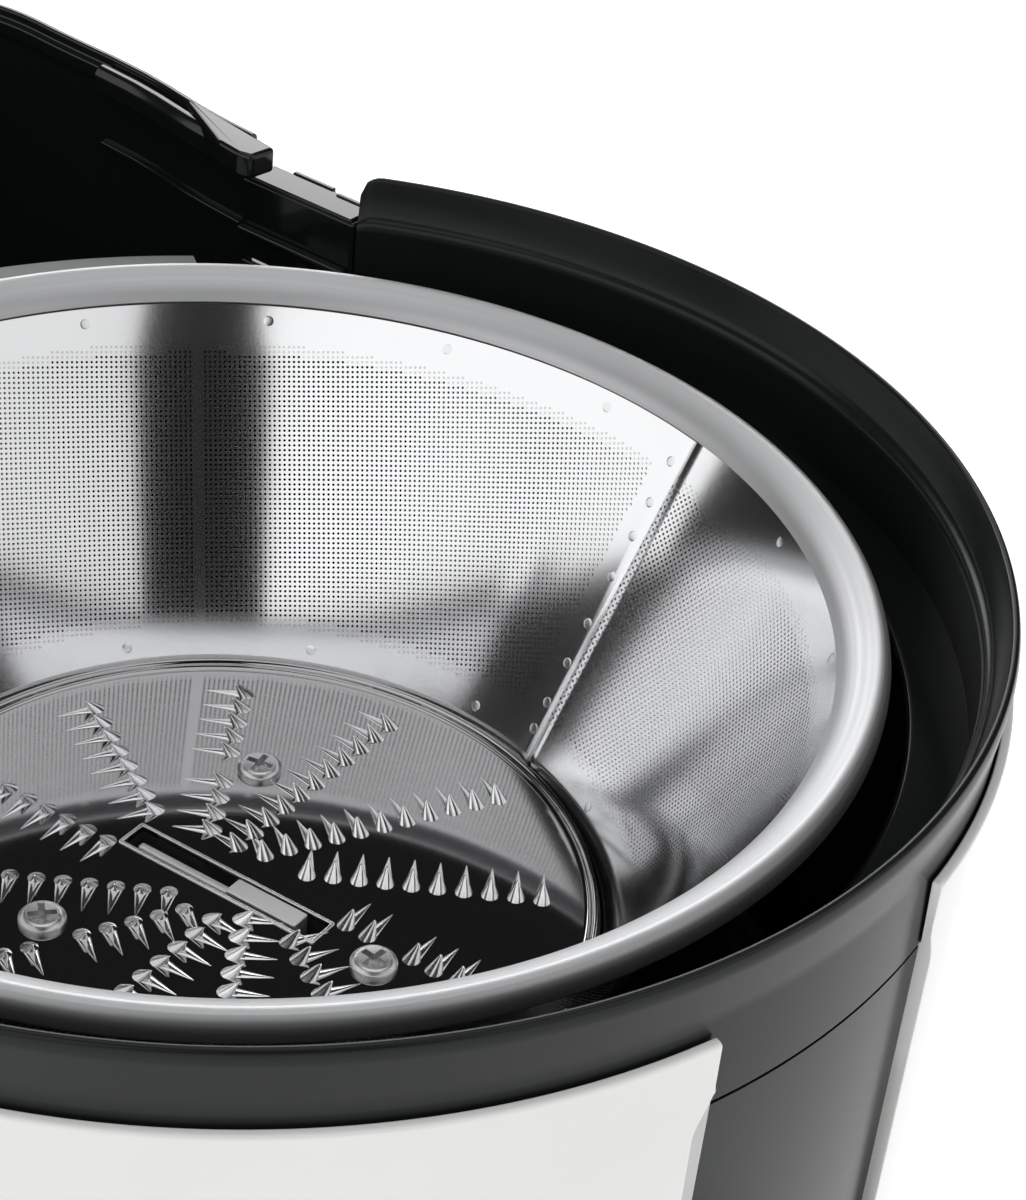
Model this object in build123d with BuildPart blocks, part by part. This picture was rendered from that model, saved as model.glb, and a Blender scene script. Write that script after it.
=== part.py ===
from build123d import *
from math import cos, hypot, radians, sin, sqrt
import os

os.makedirs("parts", exist_ok=True)

# Centrifugal juicer, open, without its lid: a round motor tower carries the juice bowl with
# the spinning sieve basket, and a pulp container slides in behind it. Millimetres, +Z up.
# The front, with the spout and the speed knob, faces -Y. The origin is on the table, under
# the middle of the box that holds the whole machine.

# ---- Sieve basket ----
sieve_rim_radius = 84.4         # outside of the rolled rim
sieve_rim_width = 6.9           # rolled rim, from its outside to its inner edge
sieve_depth = 49.0              # from the sheet's top edge down to the disc
sheet_thickness = 0.6           # perforated sheet with its lap
disc_radius = 52.0              # grater disc, over its rolled edge
disc_thickness = 0.8
disc_bead = 1.6                 # height of the disc's rolled edge above the plate
disc_edge_gap = 0.7             # between the disc's edge and the sheet
tooth_height = 1.8
tooth_radius = 1.2
tooth_pitch = 3.67              # from tooth to tooth along a row
tooth_row_offset = 3.3          # each row's line passes this far beside the axis
tooth_counts = (11, 10, 8, 9, 11, 11, 11, 11, 9, 9, 10, 11)    # in each row, from the first
tooth_first_row = 10.0          # first row, in degrees from the side axis
tooth_outer_reach = 44.0        # axis to the last tooth of a row
disc_screw_circle = 26.0        # radius on which the three disc screws sit
disc_screw_angles = (37.3, 157.2, 278.2)
locating_slot_size = (5.4, 3.0)
locating_slot_angle = -116.5    # on the same circle as the screws
hub_thickness = 4.9             # moulded plate under the disc
hub_skirt_radius = 30.0
hub_skirt_depth = 12.0

# ---- Juice bowl ----
basket_gap = 3.1                # sieve rim to the trough wall
ledge_width = 8.1               # flat ledge round the trough
ring_wall = 2.7                 # outer ring of the bowl
bowl_wall = 2.1
ring_height = 20.8              # bowl rim down to the seam
bowl_depth = 89.0               # bowl rim down to the trough floor
rim_above_sieve = 9.2           # bowl rim above the sieve's crest
chimney_radius = 24.0           # outside of the collar round the drive
chimney_height = 15.0
rear_opening_angle = 38.0       # the ring ends this far behind the side axis
wing_length = 20.6              # side walls of the pulp passage behind the ring's ends
wing_thickness = 2.4
wing_drop = 6.7                 # wing top below the bowl rim
outlet_width = 18.0             # inside of the juice outlet
outlet_height = 12.0
weir_reach = 14.0               # trough wall to the back edge of the pulp weir
weir_rise = 6.0                 # front edge of the weir above the ledge

# ---- Tower, panels and base ----
foot_height = 4.0
foot_radius = 9.0
base_thickness = 3.5
motor_bay_height = 96.5         # base plate to the underside of the deck
deck_thickness = 3.0
bowl_stand_off = 6.8            # deck to the underside of the bowl
housing_wall = 2.5
front_panel_thickness = 1.6
side_panel_proud = 1.5          # side panels stand out from the front panel
panel_lap = 10.3                # side panels lap over the bowl's ring
front_panel_half_angle = 12.3
panel_split = 0.2               # degrees between front and side panels
panel_end_angle = 36.0          # side panels end this far behind the side axis
panel_corner_step = 1.2         # degrees that the panels' top corners step inwards
seal_thickness = 1.0
fixed_gap = 0.4                 # between moulded pieces that stay together
moving_gap = 0.9                # between pieces that move past each other
running_fit = 0.05              # radial clearance round shafts and pins

# ---- Pulp container ----
container_depth = 73.7          # behind the bowl's ring
container_wall = 2.4
container_bulge = 4.5           # sides swell out from the waist
container_rim_width = 5.0
container_rim_depth = 5.5
rim_lip_width = 1.6             # raised outer lip of the rim
rim_lip_height = 1.6
rib_drop = 15.0                 # inner rib below the rim
tab_length = 22.0               # locking tabs beside the passage
tab_width = 9.5
platform_height = 42.0          # shelf that the container stands on

# ---- Spout and knob ----
spout_reach = 29.7              # ring to the spout's tip
spout_wall = 2.2
trunnion_radius = 2.0
collar_depth = 5.7
knob_radius = 17.0
knob_depth = 13.0
knob_height = 58.0
knob_shaft_radius = 3.0

# ---- Motor ----
shaft_radius = 4.0
bearing_radius = 9.0
bearing_length = 6.0
armature_radius = 24.8
air_gap = 0.7
yoke_radius = 38.0
yoke_thickness = 5.0
winding_height = 6.0            # end turns, above and below the laminations
commutator_radius = 12.0
commutator_length = 7.0
bracket_thickness = 3.0
mount_height = 12.0             # rubber mounts between the deck and the motor
mount_radius = 7.0
mount_circle = 38.0
fan_radius = 29.0
fan_height = 8.0
coupling_radius = 17.0
spigot_radius = 6.0
tang_length = 31.0
tang_thickness = 3.2
tang_angle = -80.0              # at rest, from the side axis
slot_clearance = 0.6            # tang in the slots of the hub and the disc

# ---- Heights that follow ----
floor_z = foot_height + base_thickness
deck_z = floor_z + motor_bay_height
deck_top_z = deck_z + deck_thickness
trough_z = deck_top_z + bowl_stand_off + bowl_wall
rim_z = trough_z + bowl_depth
seam_z = rim_z - ring_height
ledge_z = seam_z + bowl_wall
crest_z = rim_z - rim_above_sieve
sheet_top_z = crest_z - 4.8
disc_z = sheet_top_z - sieve_depth
hub_z = disc_z - hub_thickness
outlet_top_z = trough_z + outlet_height

# ---- Radii and plan positions that follow ----
sheet_top_radius = sieve_rim_radius - sieve_rim_width + 1.1
sheet_foot_radius = disc_radius + disc_edge_gap
trough_radius = sieve_rim_radius + basket_gap
ring_inner_radius = trough_radius + ledge_width
ring_radius = ring_inner_radius + ring_wall
tower_radius = ring_radius - front_panel_thickness
tower_inner_radius = tower_radius - housing_wall
side_panel_radius = ring_radius + side_panel_proud
front_reach = ring_radius + spout_reach
back_reach = ring_radius + container_depth
axis_y = (front_reach - back_reach) / 2
wing_start = (
    ring_inner_radius * cos(radians(rear_opening_angle)),
    ring_inner_radius * sin(radians(rear_opening_angle)),
)
wing_end = (wing_start[0] - 2.1, wing_start[1] + wing_length)
waist_x = wing_start[0] + 0.3
waist_y = wing_end[1] + 16.8
bulge_x = waist_x + container_bulge
bulge_y = waist_y + 0.4 * (back_reach - waist_y)
drive_axis = Axis((0, axis_y, 0), (0, 0, 1))


def level(height):
    """Horizontal plane at a height, centred on the drive axis."""
    return Plane(origin=(0, axis_y, height))


def radial_plane(angle=0.0):
    """Upright plane through the drive axis: its X is the radius, its Y is the height."""
    turn = radians(angle)
    return Plane(
        origin=(0, axis_y, 0),
        x_dir=(cos(turn), sin(turn), 0),
        z_dir=(sin(turn), -cos(turn), 0),
    )


def side_plane(offset_x=0.0):
    """Upright plane across the machine: its X points forwards, its Y is the height."""
    return Plane(origin=(offset_x, axis_y, 0), x_dir=(0, -1, 0), z_dir=(-1, 0, 0))


def front_plane(distance):
    """Upright plane that faces the front, a distance in front of the drive axis."""
    return Plane(origin=(0, axis_y - distance, 0), x_dir=(1, 0, 0), z_dir=(0, -1, 0))


def profile(*points):
    """Closed straight-sided outline in the sketch that calls it."""
    Polygon(*points, align=None)


def sheet_point(height, outwards):
    """Point of the sieve's wall at a height, moved outwards through its thickness."""
    slope_x = sheet_top_radius - sheet_foot_radius
    run = hypot(slope_x, sieve_depth)
    radius = sheet_foot_radius + slope_x * (height - disc_z) / sieve_depth
    return (radius + outwards * sieve_depth / run, height - outwards * slope_x / run)


def rear_plan(inset=0.0, mode=Mode.ADD):
    """Plan of the pulp container: straight waist, swelling sides and an elliptical back."""
    front_y = wing_start[1] + 2.0
    side_x = waist_x - inset
    swell_x = bulge_x - inset
    with BuildLine() as outline:
        Line((0, front_y), (side_x, front_y))
        Line((side_x, front_y), (side_x, waist_y))
        Spline((side_x, waist_y), (swell_x, bulge_y), tangents=((0, 1), (0, 1)))
        EllipticalCenterArc(
            (0, bulge_y), swell_x, back_reach - bulge_y - inset, start_angle=0, arc_size=90
        )
        mirror(about=Plane.YZ)
    make_face(outline.edges(), mode=mode)


# ======== Base and tower ========

foot_places = (
    (-0.55 * ring_radius, -0.62 * ring_radius),
    (0.55 * ring_radius, -0.62 * ring_radius),
    (-0.7 * waist_x, bulge_y + 6),
    (0.7 * waist_x, bulge_y + 6),
)
post_radius = 5.0
post_circle = tower_inner_radius - post_radius + 1.0
post_angles = (-150.0, -30.0, 35.0, 145.0)
post_height = 26.0
screw_radius = 1.5
screw_head_radius = 3.4
screw_head_height = 2.2
post_places = [
    (post_circle * cos(radians(angle)), post_circle * sin(radians(angle)))
    for angle in post_angles
]

# Base plate that closes the underside, with rows of cooling slots under the motor
with BuildPart() as base_plate:
    with BuildSketch(level(foot_height)):
        Circle(tower_radius)
        rear_plan(inset=container_wall)
    extrude(amount=base_thickness)
    with BuildSketch(level(foot_height)):
        with GridLocations(9.0, 26.0, 5, 2):
            SlotOverall(20.0, 3.2, rotation=90)
    extrude(amount=base_thickness, mode=Mode.SUBTRACT)
    with Locations(level(foot_height)):
        with Locations(*post_places):
            Cylinder(
                screw_head_radius + fixed_gap,
                screw_head_height,
                align=(Align.CENTER, Align.CENTER, Align.MIN),
                mode=Mode.SUBTRACT,
            )
            Cylinder(
                screw_radius + 0.1,
                base_thickness,
                align=(Align.CENTER, Align.CENTER, Align.MIN),
                mode=Mode.SUBTRACT,
            )
base_plate.part.label = "base_plate"
export_step(base_plate.part, "parts/base_plate.step")

# Four soft feet glued under the base plate
with BuildPart() as rubber_feet:
    with BuildSketch(level(0)):
        with Locations(*foot_places):
            Circle(foot_radius)
    extrude(amount=foot_height, taper=8)
rubber_feet.part.label = "rubber_feet"
export_step(rubber_feet.part, "parts/rubber_feet.step")

# Screws from below into the posts of the housing
with BuildPart() as base_screws:
    with BuildSketch(level(foot_height)):
        with Locations(*post_places):
            Circle(screw_head_radius)
    extrude(amount=screw_head_height)
    with BuildSketch(level(foot_height)):
        with Locations(*post_places):
            Circle(screw_radius)
    extrude(amount=base_thickness + 12.0)
    with BuildSketch(level(foot_height)):
        with Locations(*post_places):
            Rectangle(4.0, 0.8)
            Rectangle(0.8, 4.0)
    extrude(amount=1.2, mode=Mode.SUBTRACT)
base_screws.part.label = "base_screws"
export_step(base_screws.part, "parts/base_screws.step")

seal_seat_z = seam_z - seal_thickness
outlet_outer_width = outlet_width + 2 * bowl_wall
inlet_z = 24.0
inlet_radius = 6.0
inlet_bore_radius = 3.6
switch_size = (28.0, 24.0, 21.0)  # across, up, deep
switch_front = sqrt(tower_inner_radius**2 - (switch_size[0] / 2) ** 2) - 0.5

# Space under the shelf, which joins the motor bay
with BuildPart() as shelf_space:
    with BuildSketch(level(floor_z)):
        rear_plan(inset=container_wall + housing_wall)
    extrude(amount=platform_height - floor_z - housing_wall)

# Motor tower: round wall, deck over the motor and posts for the base screws
with BuildPart() as lower_housing:
    with BuildSketch(level(floor_z)):
        Circle(tower_radius)
    extrude(amount=deck_top_z - floor_z)
    with BuildSketch(level(floor_z)):
        Circle(tower_inner_radius)
    extrude(amount=motor_bay_height, mode=Mode.SUBTRACT)
    add(shelf_space.part, mode=Mode.SUBTRACT)
    with BuildSketch(level(floor_z)):
        with Locations(*post_places):
            Circle(post_radius)
            Circle(screw_radius + 0.1, mode=Mode.SUBTRACT)
    extrude(amount=post_height)
    # Seal hole and motor screw holes in the deck, and the hole for the knob's shaft
    with BuildSketch(level(deck_z)):
        Circle(coupling_radius - 2)
        with PolarLocations(mount_circle, 4, start_angle=45):
            Circle(2.2)
    extrude(amount=deck_thickness, mode=Mode.SUBTRACT)
    with BuildSketch(front_plane(ring_radius)):
        with Locations((0, knob_height)):
            Circle(knob_shaft_radius + 0.5)
    extrude(amount=-2 * housing_wall - front_panel_thickness - 2, mode=Mode.SUBTRACT)
lower_housing.part.label = "lower_housing"
export_step(lower_housing.part, "parts/lower_housing.step")

# Round shroud that stands on the deck and carries the bowl, with a window for the juice outlet
with BuildPart() as bowl_shroud:
    with BuildSketch(level(deck_top_z)):
        Circle(tower_radius)
        Circle(tower_inner_radius, mode=Mode.SUBTRACT)
    extrude(amount=seal_seat_z - deck_top_z)
    with BuildSketch(front_plane(ring_radius)):
        with Locations((0, (trough_z + outlet_top_z) / 2)):
            Rectangle(outlet_outer_width + 2 * fixed_gap, outlet_height + 2 * bowl_wall + 2 * fixed_gap)
    extrude(amount=-2 * housing_wall - front_panel_thickness - 2, mode=Mode.SUBTRACT)
bowl_shroud.part.label = "bowl_shroud"
export_step(bowl_shroud.part, "parts/bowl_shroud.step")

# Hollow shelf behind the tower that the pulp container stands on, with the hole for the cord
with BuildPart() as container_shelf:
    with BuildSketch(level(floor_z)):
        rear_plan(inset=container_wall)
        Circle(tower_radius, mode=Mode.SUBTRACT)
    extrude(amount=platform_height - floor_z)
    add(shelf_space.part, mode=Mode.SUBTRACT)
    with BuildSketch(front_plane(-back_reach)):
        with Locations((0, inlet_z)):
            Circle(inlet_radius)
    extrude(amount=container_wall + 2 * housing_wall + 1, mode=Mode.SUBTRACT)
container_shelf.part.label = "container_shelf"
export_step(container_shelf.part, "parts/container_shelf.step")

grommet_flange = 2.3
shelf_back = back_reach - container_wall

# Grommet that the mains cord enters through, snapped into the back wall
with BuildPart() as cord_inlet:
    with BuildSketch(front_plane(-shelf_back - grommet_flange)):
        with Locations((0, inlet_z)):
            Circle(inlet_radius + 2)
    extrude(amount=grommet_flange)
    with BuildSketch(front_plane(-shelf_back)):
        with Locations((0, inlet_z)):
            Circle(inlet_radius)
    extrude(amount=housing_wall + fixed_gap)
    with BuildSketch(front_plane(-(shelf_back - housing_wall - fixed_gap))):
        with Locations((0, inlet_z)):
            Circle(inlet_radius + 2)
    extrude(amount=grommet_flange)
    with BuildSketch(front_plane(-shelf_back - 2 * grommet_flange)):
        with Locations((0, inlet_z)):
            Circle(inlet_bore_radius)
    extrude(amount=20.0, mode=Mode.SUBTRACT)
cord_inlet.part.label = "cord_inlet"
export_step(cord_inlet.part, "parts/cord_inlet.step")

panel_foot_z = floor_z + 1.5

# Dark panel down the front, between the side panels
with BuildPart() as front_panel:
    with BuildSketch(radial_plane(-90 - front_panel_half_angle)):
        profile(
            (tower_radius, panel_foot_z),
            (ring_radius, panel_foot_z),
            (ring_radius, seam_z - fixed_gap),
            (tower_radius, seam_z - fixed_gap),
        )
    revolve(axis=drive_axis, revolution_arc=2 * front_panel_half_angle)
    with BuildSketch(front_plane(ring_radius + 1)):
        with Locations((0, (trough_z + outlet_top_z) / 2)):
            Rectangle(outlet_outer_width + 2 * fixed_gap, outlet_height + 2 * bowl_wall + 2 * fixed_gap)
        with Locations((0, knob_height)):
            Circle(knob_shaft_radius + 0.5)
    extrude(amount=-12, mode=Mode.SUBTRACT)
front_panel.part.label = "front_panel"
export_step(front_panel.part, "parts/front_panel.step")

panel_span = 90 - front_panel_half_angle - panel_split + panel_end_angle
panel_top_z = seam_z + panel_lap

# Side panels wrap the tower and lap over the bowl's ring; their top corners step inwards
with BuildPart() as right_side_panel:
    with BuildSketch(radial_plane(-90 + front_panel_half_angle + panel_split)):
        profile(
            (tower_radius, panel_foot_z),
            (side_panel_radius - 0.8, panel_foot_z),
            (side_panel_radius, panel_foot_z + 0.8),
            (side_panel_radius, panel_top_z - 0.8),
            (side_panel_radius - 0.5, panel_top_z),
            (ring_radius + 0.1, panel_top_z),
            (ring_radius + 0.1, seam_z - fixed_gap),
            (tower_radius, seam_z - fixed_gap),
        )
    revolve(axis=drive_axis, revolution_arc=panel_span)
    with BuildSketch(radial_plane(-90 + front_panel_half_angle + panel_split - panel_corner_step)):
        profile(
            (ring_radius + 0.1, seam_z),
            (side_panel_radius, seam_z),
            (side_panel_radius, panel_top_z - 0.8),
            (side_panel_radius - 0.5, panel_top_z),
            (ring_radius + 0.1, panel_top_z),
        )
    revolve(axis=drive_axis, revolution_arc=2 * panel_corner_step)
right_side_panel.part.label = "right_side_panel"
export_step(right_side_panel.part, "parts/right_side_panel.step")

with BuildPart() as left_side_panel:
    mirror(right_side_panel.part, about=Plane.YZ)
left_side_panel.part.label = "left_side_panel"
export_step(left_side_panel.part, "parts/left_side_panel.step")

# ======== Juice bowl ========

# Soft ring that the bowl sits on
with BuildPart() as bowl_seal:
    with BuildSketch(level(seal_seat_z)):
        Circle(tower_radius)
        Circle(tower_inner_radius, mode=Mode.SUBTRACT)
    extrude(amount=seal_thickness)
bowl_seal.part.label = "bowl_seal"
export_step(bowl_seal.part, "parts/bowl_seal.step")

chimney_inner_radius = chimney_radius - 2.5
chimney_top_z = trough_z + chimney_height
ring_span = 180 + 2 * rear_opening_angle
shelf_z = rim_z - 7.4

# Bowl with the trough that gathers the juice, the ledge round it, the ring that shows outside,
# and the passage behind, where the pulp is thrown over a weir
with BuildPart() as juice_bowl:
    with BuildSketch(radial_plane()):
        profile(
            (ring_radius - 0.5, seam_z),
            (ring_radius - 0.5, ledge_z),
            (trough_radius, ledge_z),
            (trough_radius - 1.5, trough_z),
            (chimney_radius + 1.5, trough_z + 1.5),
            (chimney_radius, chimney_top_z),
            (chimney_inner_radius, chimney_top_z),
            (chimney_inner_radius, trough_z - bowl_wall + 1.5),
            (trough_radius + bowl_wall - 1.5, trough_z - bowl_wall),
            (trough_radius + bowl_wall, seam_z),
        )
    revolve(axis=drive_axis)
    with BuildSketch(radial_plane(180 - rear_opening_angle)):
        profile(
            (ring_radius, seam_z),
            (ring_radius - 0.25, rim_z - 8.4),
            (ring_radius + 0.6, rim_z - 1.2),
            (ring_radius + 0.1, rim_z),
            (ring_radius - 0.7, rim_z),
            (ring_radius - 1.4, rim_z - 4.8),
            (ring_radius - 2.4, rim_z - 6.8),
            (ring_radius - 3.1, shelf_z),
            (ring_inner_radius, seam_z),
        )
    revolve(axis=drive_axis, revolution_arc=ring_span)
    # Wings beside the pulp passage
    with BuildSketch(level(seam_z)):
        profile(
            (wing_start[0] - 1.0, wing_start[1] - 2.0),
            (wing_start[0] + wing_thickness - 1.0, wing_start[1] - 2.0),
            (wing_end[0] + wing_thickness, wing_end[1]),
            wing_end,
        )
        mirror(about=Plane.YZ)
    extrude(amount=rim_z - wing_drop - seam_z)
    # Weir that slopes down and back from the sieve's rim
    with BuildSketch(radial_plane(rear_opening_angle + 14)):
        profile(
            (trough_radius + 0.4, seam_z),
            (trough_radius + 0.4, ledge_z + weir_rise),
            (trough_radius + weir_reach, ledge_z + 1.0),
            (trough_radius + weir_reach, seam_z),
        )
    revolve(axis=drive_axis, revolution_arc=180 - 2 * (rear_opening_angle + 14))
    # Juice outlet through the front
    with BuildSketch(front_plane(trough_radius - 4)):
        with Locations((0, (trough_z + outlet_top_z) / 2)):
            Rectangle(outlet_outer_width, outlet_height + 2 * bowl_wall)
    extrude(amount=ring_radius + 1.2 - trough_radius + 4)
    with BuildSketch(front_plane(trough_radius - 10)):
        with Locations((0, (trough_z + outlet_top_z) / 2)):
            Rectangle(outlet_width, outlet_height)
    extrude(amount=ring_radius + 2 - trough_radius + 10, mode=Mode.SUBTRACT)
juice_bowl.part.label = "juice_bowl"
export_step(juice_bowl.part, "parts/juice_bowl.step")

# ======== Spout ========

collar_front = ring_radius + collar_depth
collar_width = outlet_outer_width + 8
collar_top_z = outlet_top_z + bowl_wall + 4
collar_foot_z = trough_z - bowl_wall - 4
pivot_reach = collar_front + 4.2
pivot_z = outlet_top_z - 0.5
ear_thickness = 3.0
spout_half_width = collar_width / 2 - ear_thickness - 0.5

# Collar round the outlet, with two ears that carry the spout
with BuildPart() as spout_collar:
    with BuildSketch(front_plane(ring_radius - 2)):
        with Locations((0, (collar_top_z + collar_foot_z) / 2)):
            RectangleRounded(collar_width, collar_top_z - collar_foot_z, 3)
    extrude(amount=collar_depth + 2)
    with BuildSketch(side_plane(collar_width / 2)):
        profile(
            (collar_front - 1, pivot_z + 4),
            (pivot_reach, pivot_z + 4),
            (pivot_reach + 4, pivot_z),
            (pivot_reach + 4, pivot_z - 4),
            (collar_front - 1, pivot_z - 9),
        )
    extrude(amount=collar_width)
    with BuildSketch(side_plane(spout_half_width + 0.5)):
        profile(
            (collar_front, collar_foot_z - 1),
            (pivot_reach + 6, collar_foot_z - 1),
            (pivot_reach + 6, collar_top_z + 5),
            (collar_front, collar_top_z + 5),
        )
    extrude(amount=2 * spout_half_width + 1, mode=Mode.SUBTRACT)
    with BuildSketch(side_plane(collar_width / 2)):
        with Locations((pivot_reach, pivot_z)):
            Circle(trunnion_radius + running_fit)
    extrude(amount=collar_width, mode=Mode.SUBTRACT)
    with BuildSketch(front_plane(ring_radius - 3)):
        with Locations((0, (trough_z + outlet_top_z) / 2)):
            Rectangle(outlet_outer_width + 2 * fixed_gap, outlet_height + 2 * bowl_wall + 2 * fixed_gap)
    extrude(amount=collar_depth + 4, mode=Mode.SUBTRACT)
    with BuildSketch(level(collar_foot_z - 5)):
        Circle(ring_radius)
    extrude(amount=collar_top_z - collar_foot_z + 10, mode=Mode.SUBTRACT)
spout_collar.part.label = "spout_collar"
export_step(spout_collar.part, "parts/spout_collar.step")

# Tilting drip-stop spout: a downturned chute that hangs on two trunnions
with BuildPart() as drip_spout:
    with BuildSketch(side_plane(spout_half_width)):
        profile(
            (collar_front + 0.8, trough_z - 3.5),
            (collar_front + 0.8, pivot_z + 1.5),
            (collar_front + 9.5, pivot_z + 2.0),
            (front_reach, trough_z + 2),
            (front_reach, trough_z - 10),
            (front_reach - 9.5, trough_z - 10),
            (front_reach - 13.5, trough_z - 3.5),
        )
    extrude(amount=2 * spout_half_width)
    with BuildSketch(side_plane(spout_half_width - spout_wall)):
        profile(
            (collar_front - 1, trough_z - 1.2),
            (collar_front - 1, pivot_z - 0.7),
            (collar_front + 8.5, pivot_z - 0.4),
            (front_reach - spout_wall, trough_z + 1),
            (front_reach - spout_wall, trough_z - 12),
            (front_reach - 7.5, trough_z - 12),
            (front_reach - 11.5, trough_z - 1.2),
        )
    extrude(amount=2 * (spout_half_width - spout_wall), mode=Mode.SUBTRACT)
    for side in (-1, 1):
        with BuildSketch(side_plane(side * (spout_half_width - 0.5))):
            with Locations((pivot_reach, pivot_z)):
                Circle(trunnion_radius)
        extrude(amount=-side * (ear_thickness + 0.8))
drip_spout.part.label = "drip_spout"
export_step(drip_spout.part, "parts/drip_spout.step")

# ======== Speed knob and switch ========

knob_back = ring_radius + 1.2
with BuildPart() as speed_knob:
    with BuildSketch(front_plane(knob_back)):
        with Locations((0, knob_height)):
            Circle(knob_radius)
    extrude(amount=knob_depth, taper=6)
    fillet(speed_knob.edges().filter_by(GeomType.CIRCLE).sort_by(Axis.Y)[0], radius=1.5)
    with BuildSketch(front_plane(knob_back + knob_depth)):
        with Locations((0, knob_height + knob_radius * 0.55)):
            SlotOverall(8.0, 1.8, rotation=90)
    extrude(amount=-0.6, mode=Mode.SUBTRACT)
    with BuildSketch(front_plane(knob_back)):
        with Locations((0, knob_height)):
            Circle(knob_shaft_radius)
    extrude(amount=knob_depth - 4, mode=Mode.SUBTRACT)
speed_knob.part.label = "speed_knob"
export_step(speed_knob.part, "parts/speed_knob.step")

# Spindle from the knob into the switch
with BuildPart() as knob_shaft:
    with BuildSketch(front_plane(switch_front - 12)):
        with Locations((0, knob_height)):
            Circle(knob_shaft_radius)
    extrude(amount=knob_back + knob_depth - 4 - switch_front + 12)
knob_shaft.part.label = "knob_shaft"
export_step(knob_shaft.part, "parts/knob_shaft.step")

with BuildPart() as rotary_switch:
    with BuildSketch(front_plane(switch_front)):
        with Locations((0, knob_height)):
            RectangleRounded(switch_size[0], switch_size[1], 2)
            Circle(knob_shaft_radius + running_fit, mode=Mode.SUBTRACT)
    extrude(amount=-14)
    with BuildSketch(front_plane(switch_front - 14)):
        with Locations((0, knob_height)):
            RectangleRounded(switch_size[0] - 4, switch_size[1] - 4, 2)
    extrude(amount=-(switch_size[2] - 14))
rotary_switch.part.label = "rotary_switch"
export_step(rotary_switch.part, "parts/rotary_switch.step")

# Terminal block and interference capacitor, on the base plate under the shelf
block_y = waist_y + 12
with BuildPart() as terminal_block:
    with BuildSketch(level(floor_z)):
        with Locations((26, block_y)):
            Rectangle(34, 16)
    extrude(amount=13)
    with BuildSketch(level(floor_z + 13)):
        with Locations((26, block_y)):
            with GridLocations(10, 8, 3, 2):
                Circle(2.2)
    extrude(amount=-5, mode=Mode.SUBTRACT)
terminal_block.part.label = "terminal_block"
export_step(terminal_block.part, "parts/terminal_block.step")

with BuildPart() as suppression_capacitor:
    with BuildSketch(level(floor_z)):
        with Locations((-26, block_y)):
            RectangleRounded(27, 12, 1.5)
    extrude(amount=19)
suppression_capacitor.part.label = "suppression_capacitor"
export_step(suppression_capacitor.part, "parts/suppression_capacitor.step")

# ======== Motor, hung from the deck on rubber mounts ========

upper_bracket_z = deck_z - mount_height - bracket_thickness
core_top_z = upper_bracket_z - 11.0
lower_bracket_z = floor_z + 18.5
core_foot_z = lower_bracket_z + bracket_thickness + commutator_length + 1.0 + winding_height + 1.0
pole_radius = armature_radius + air_gap
yoke_inner_radius = yoke_radius - yoke_thickness
pole_half_angle = 35.0
coil_half_angle = 60.0

# Rubber ring round the shaft, pressed into the deck
with BuildPart() as shaft_seal:
    with BuildSketch(level(deck_z)):
        Circle(coupling_radius - 2)
        Circle(shaft_radius + 0.1, mode=Mode.SUBTRACT)
    extrude(amount=deck_thickness + 1.5)
shaft_seal.part.label = "shaft_seal"
export_step(shaft_seal.part, "parts/shaft_seal.step")

with BuildPart() as motor_mounts:
    with BuildSketch(level(deck_z - mount_height)):
        with PolarLocations(mount_circle, 4, start_angle=45):
            Circle(mount_radius)
            Circle(2.2, mode=Mode.SUBTRACT)
    extrude(amount=mount_height)
motor_mounts.part.label = "motor_mounts"
export_step(motor_mounts.part, "parts/motor_mounts.step")

with BuildPart() as motor_screws:
    with BuildSketch(level(deck_top_z)):
        with PolarLocations(mount_circle, 4, start_angle=45):
            Circle(4.0)
    extrude(amount=2.4)
    with BuildSketch(level(upper_bracket_z)):
        with PolarLocations(mount_circle, 4, start_angle=45):
            Circle(2.0)
    extrude(amount=deck_top_z - upper_bracket_z)
motor_screws.part.label = "motor_screws"
export_step(motor_screws.part, "parts/motor_screws.step")

# Upper bracket: plate, bearing cup and two legs down to the yoke
with BuildPart() as motor_upper_bracket:
    with BuildSketch(level(upper_bracket_z)):
        Circle(mount_circle + mount_radius)
        with PolarLocations(mount_circle, 4, start_angle=45):
            Circle(2.0, mode=Mode.SUBTRACT)
        with PolarLocations(22, 6, start_angle=30):
            Circle(5, mode=Mode.SUBTRACT)
    extrude(amount=bracket_thickness)
    with BuildSketch(level(upper_bracket_z + bracket_thickness - bearing_length)):
        Circle(bearing_radius + 2.5)
    extrude(amount=bearing_length)
    with BuildSketch(level(core_top_z)):
        with PolarLocations(yoke_radius - yoke_thickness / 2, 2, start_angle=90):
            Rectangle(yoke_thickness, 12)
    extrude(amount=upper_bracket_z - core_top_z)
    with BuildSketch(level(upper_bracket_z - bearing_length)):
        Circle(bearing_radius)
    extrude(amount=2 * bearing_length, mode=Mode.SUBTRACT)
motor_upper_bracket.part.label = "motor_upper_bracket"
export_step(motor_upper_bracket.part, "parts/motor_upper_bracket.step")

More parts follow.
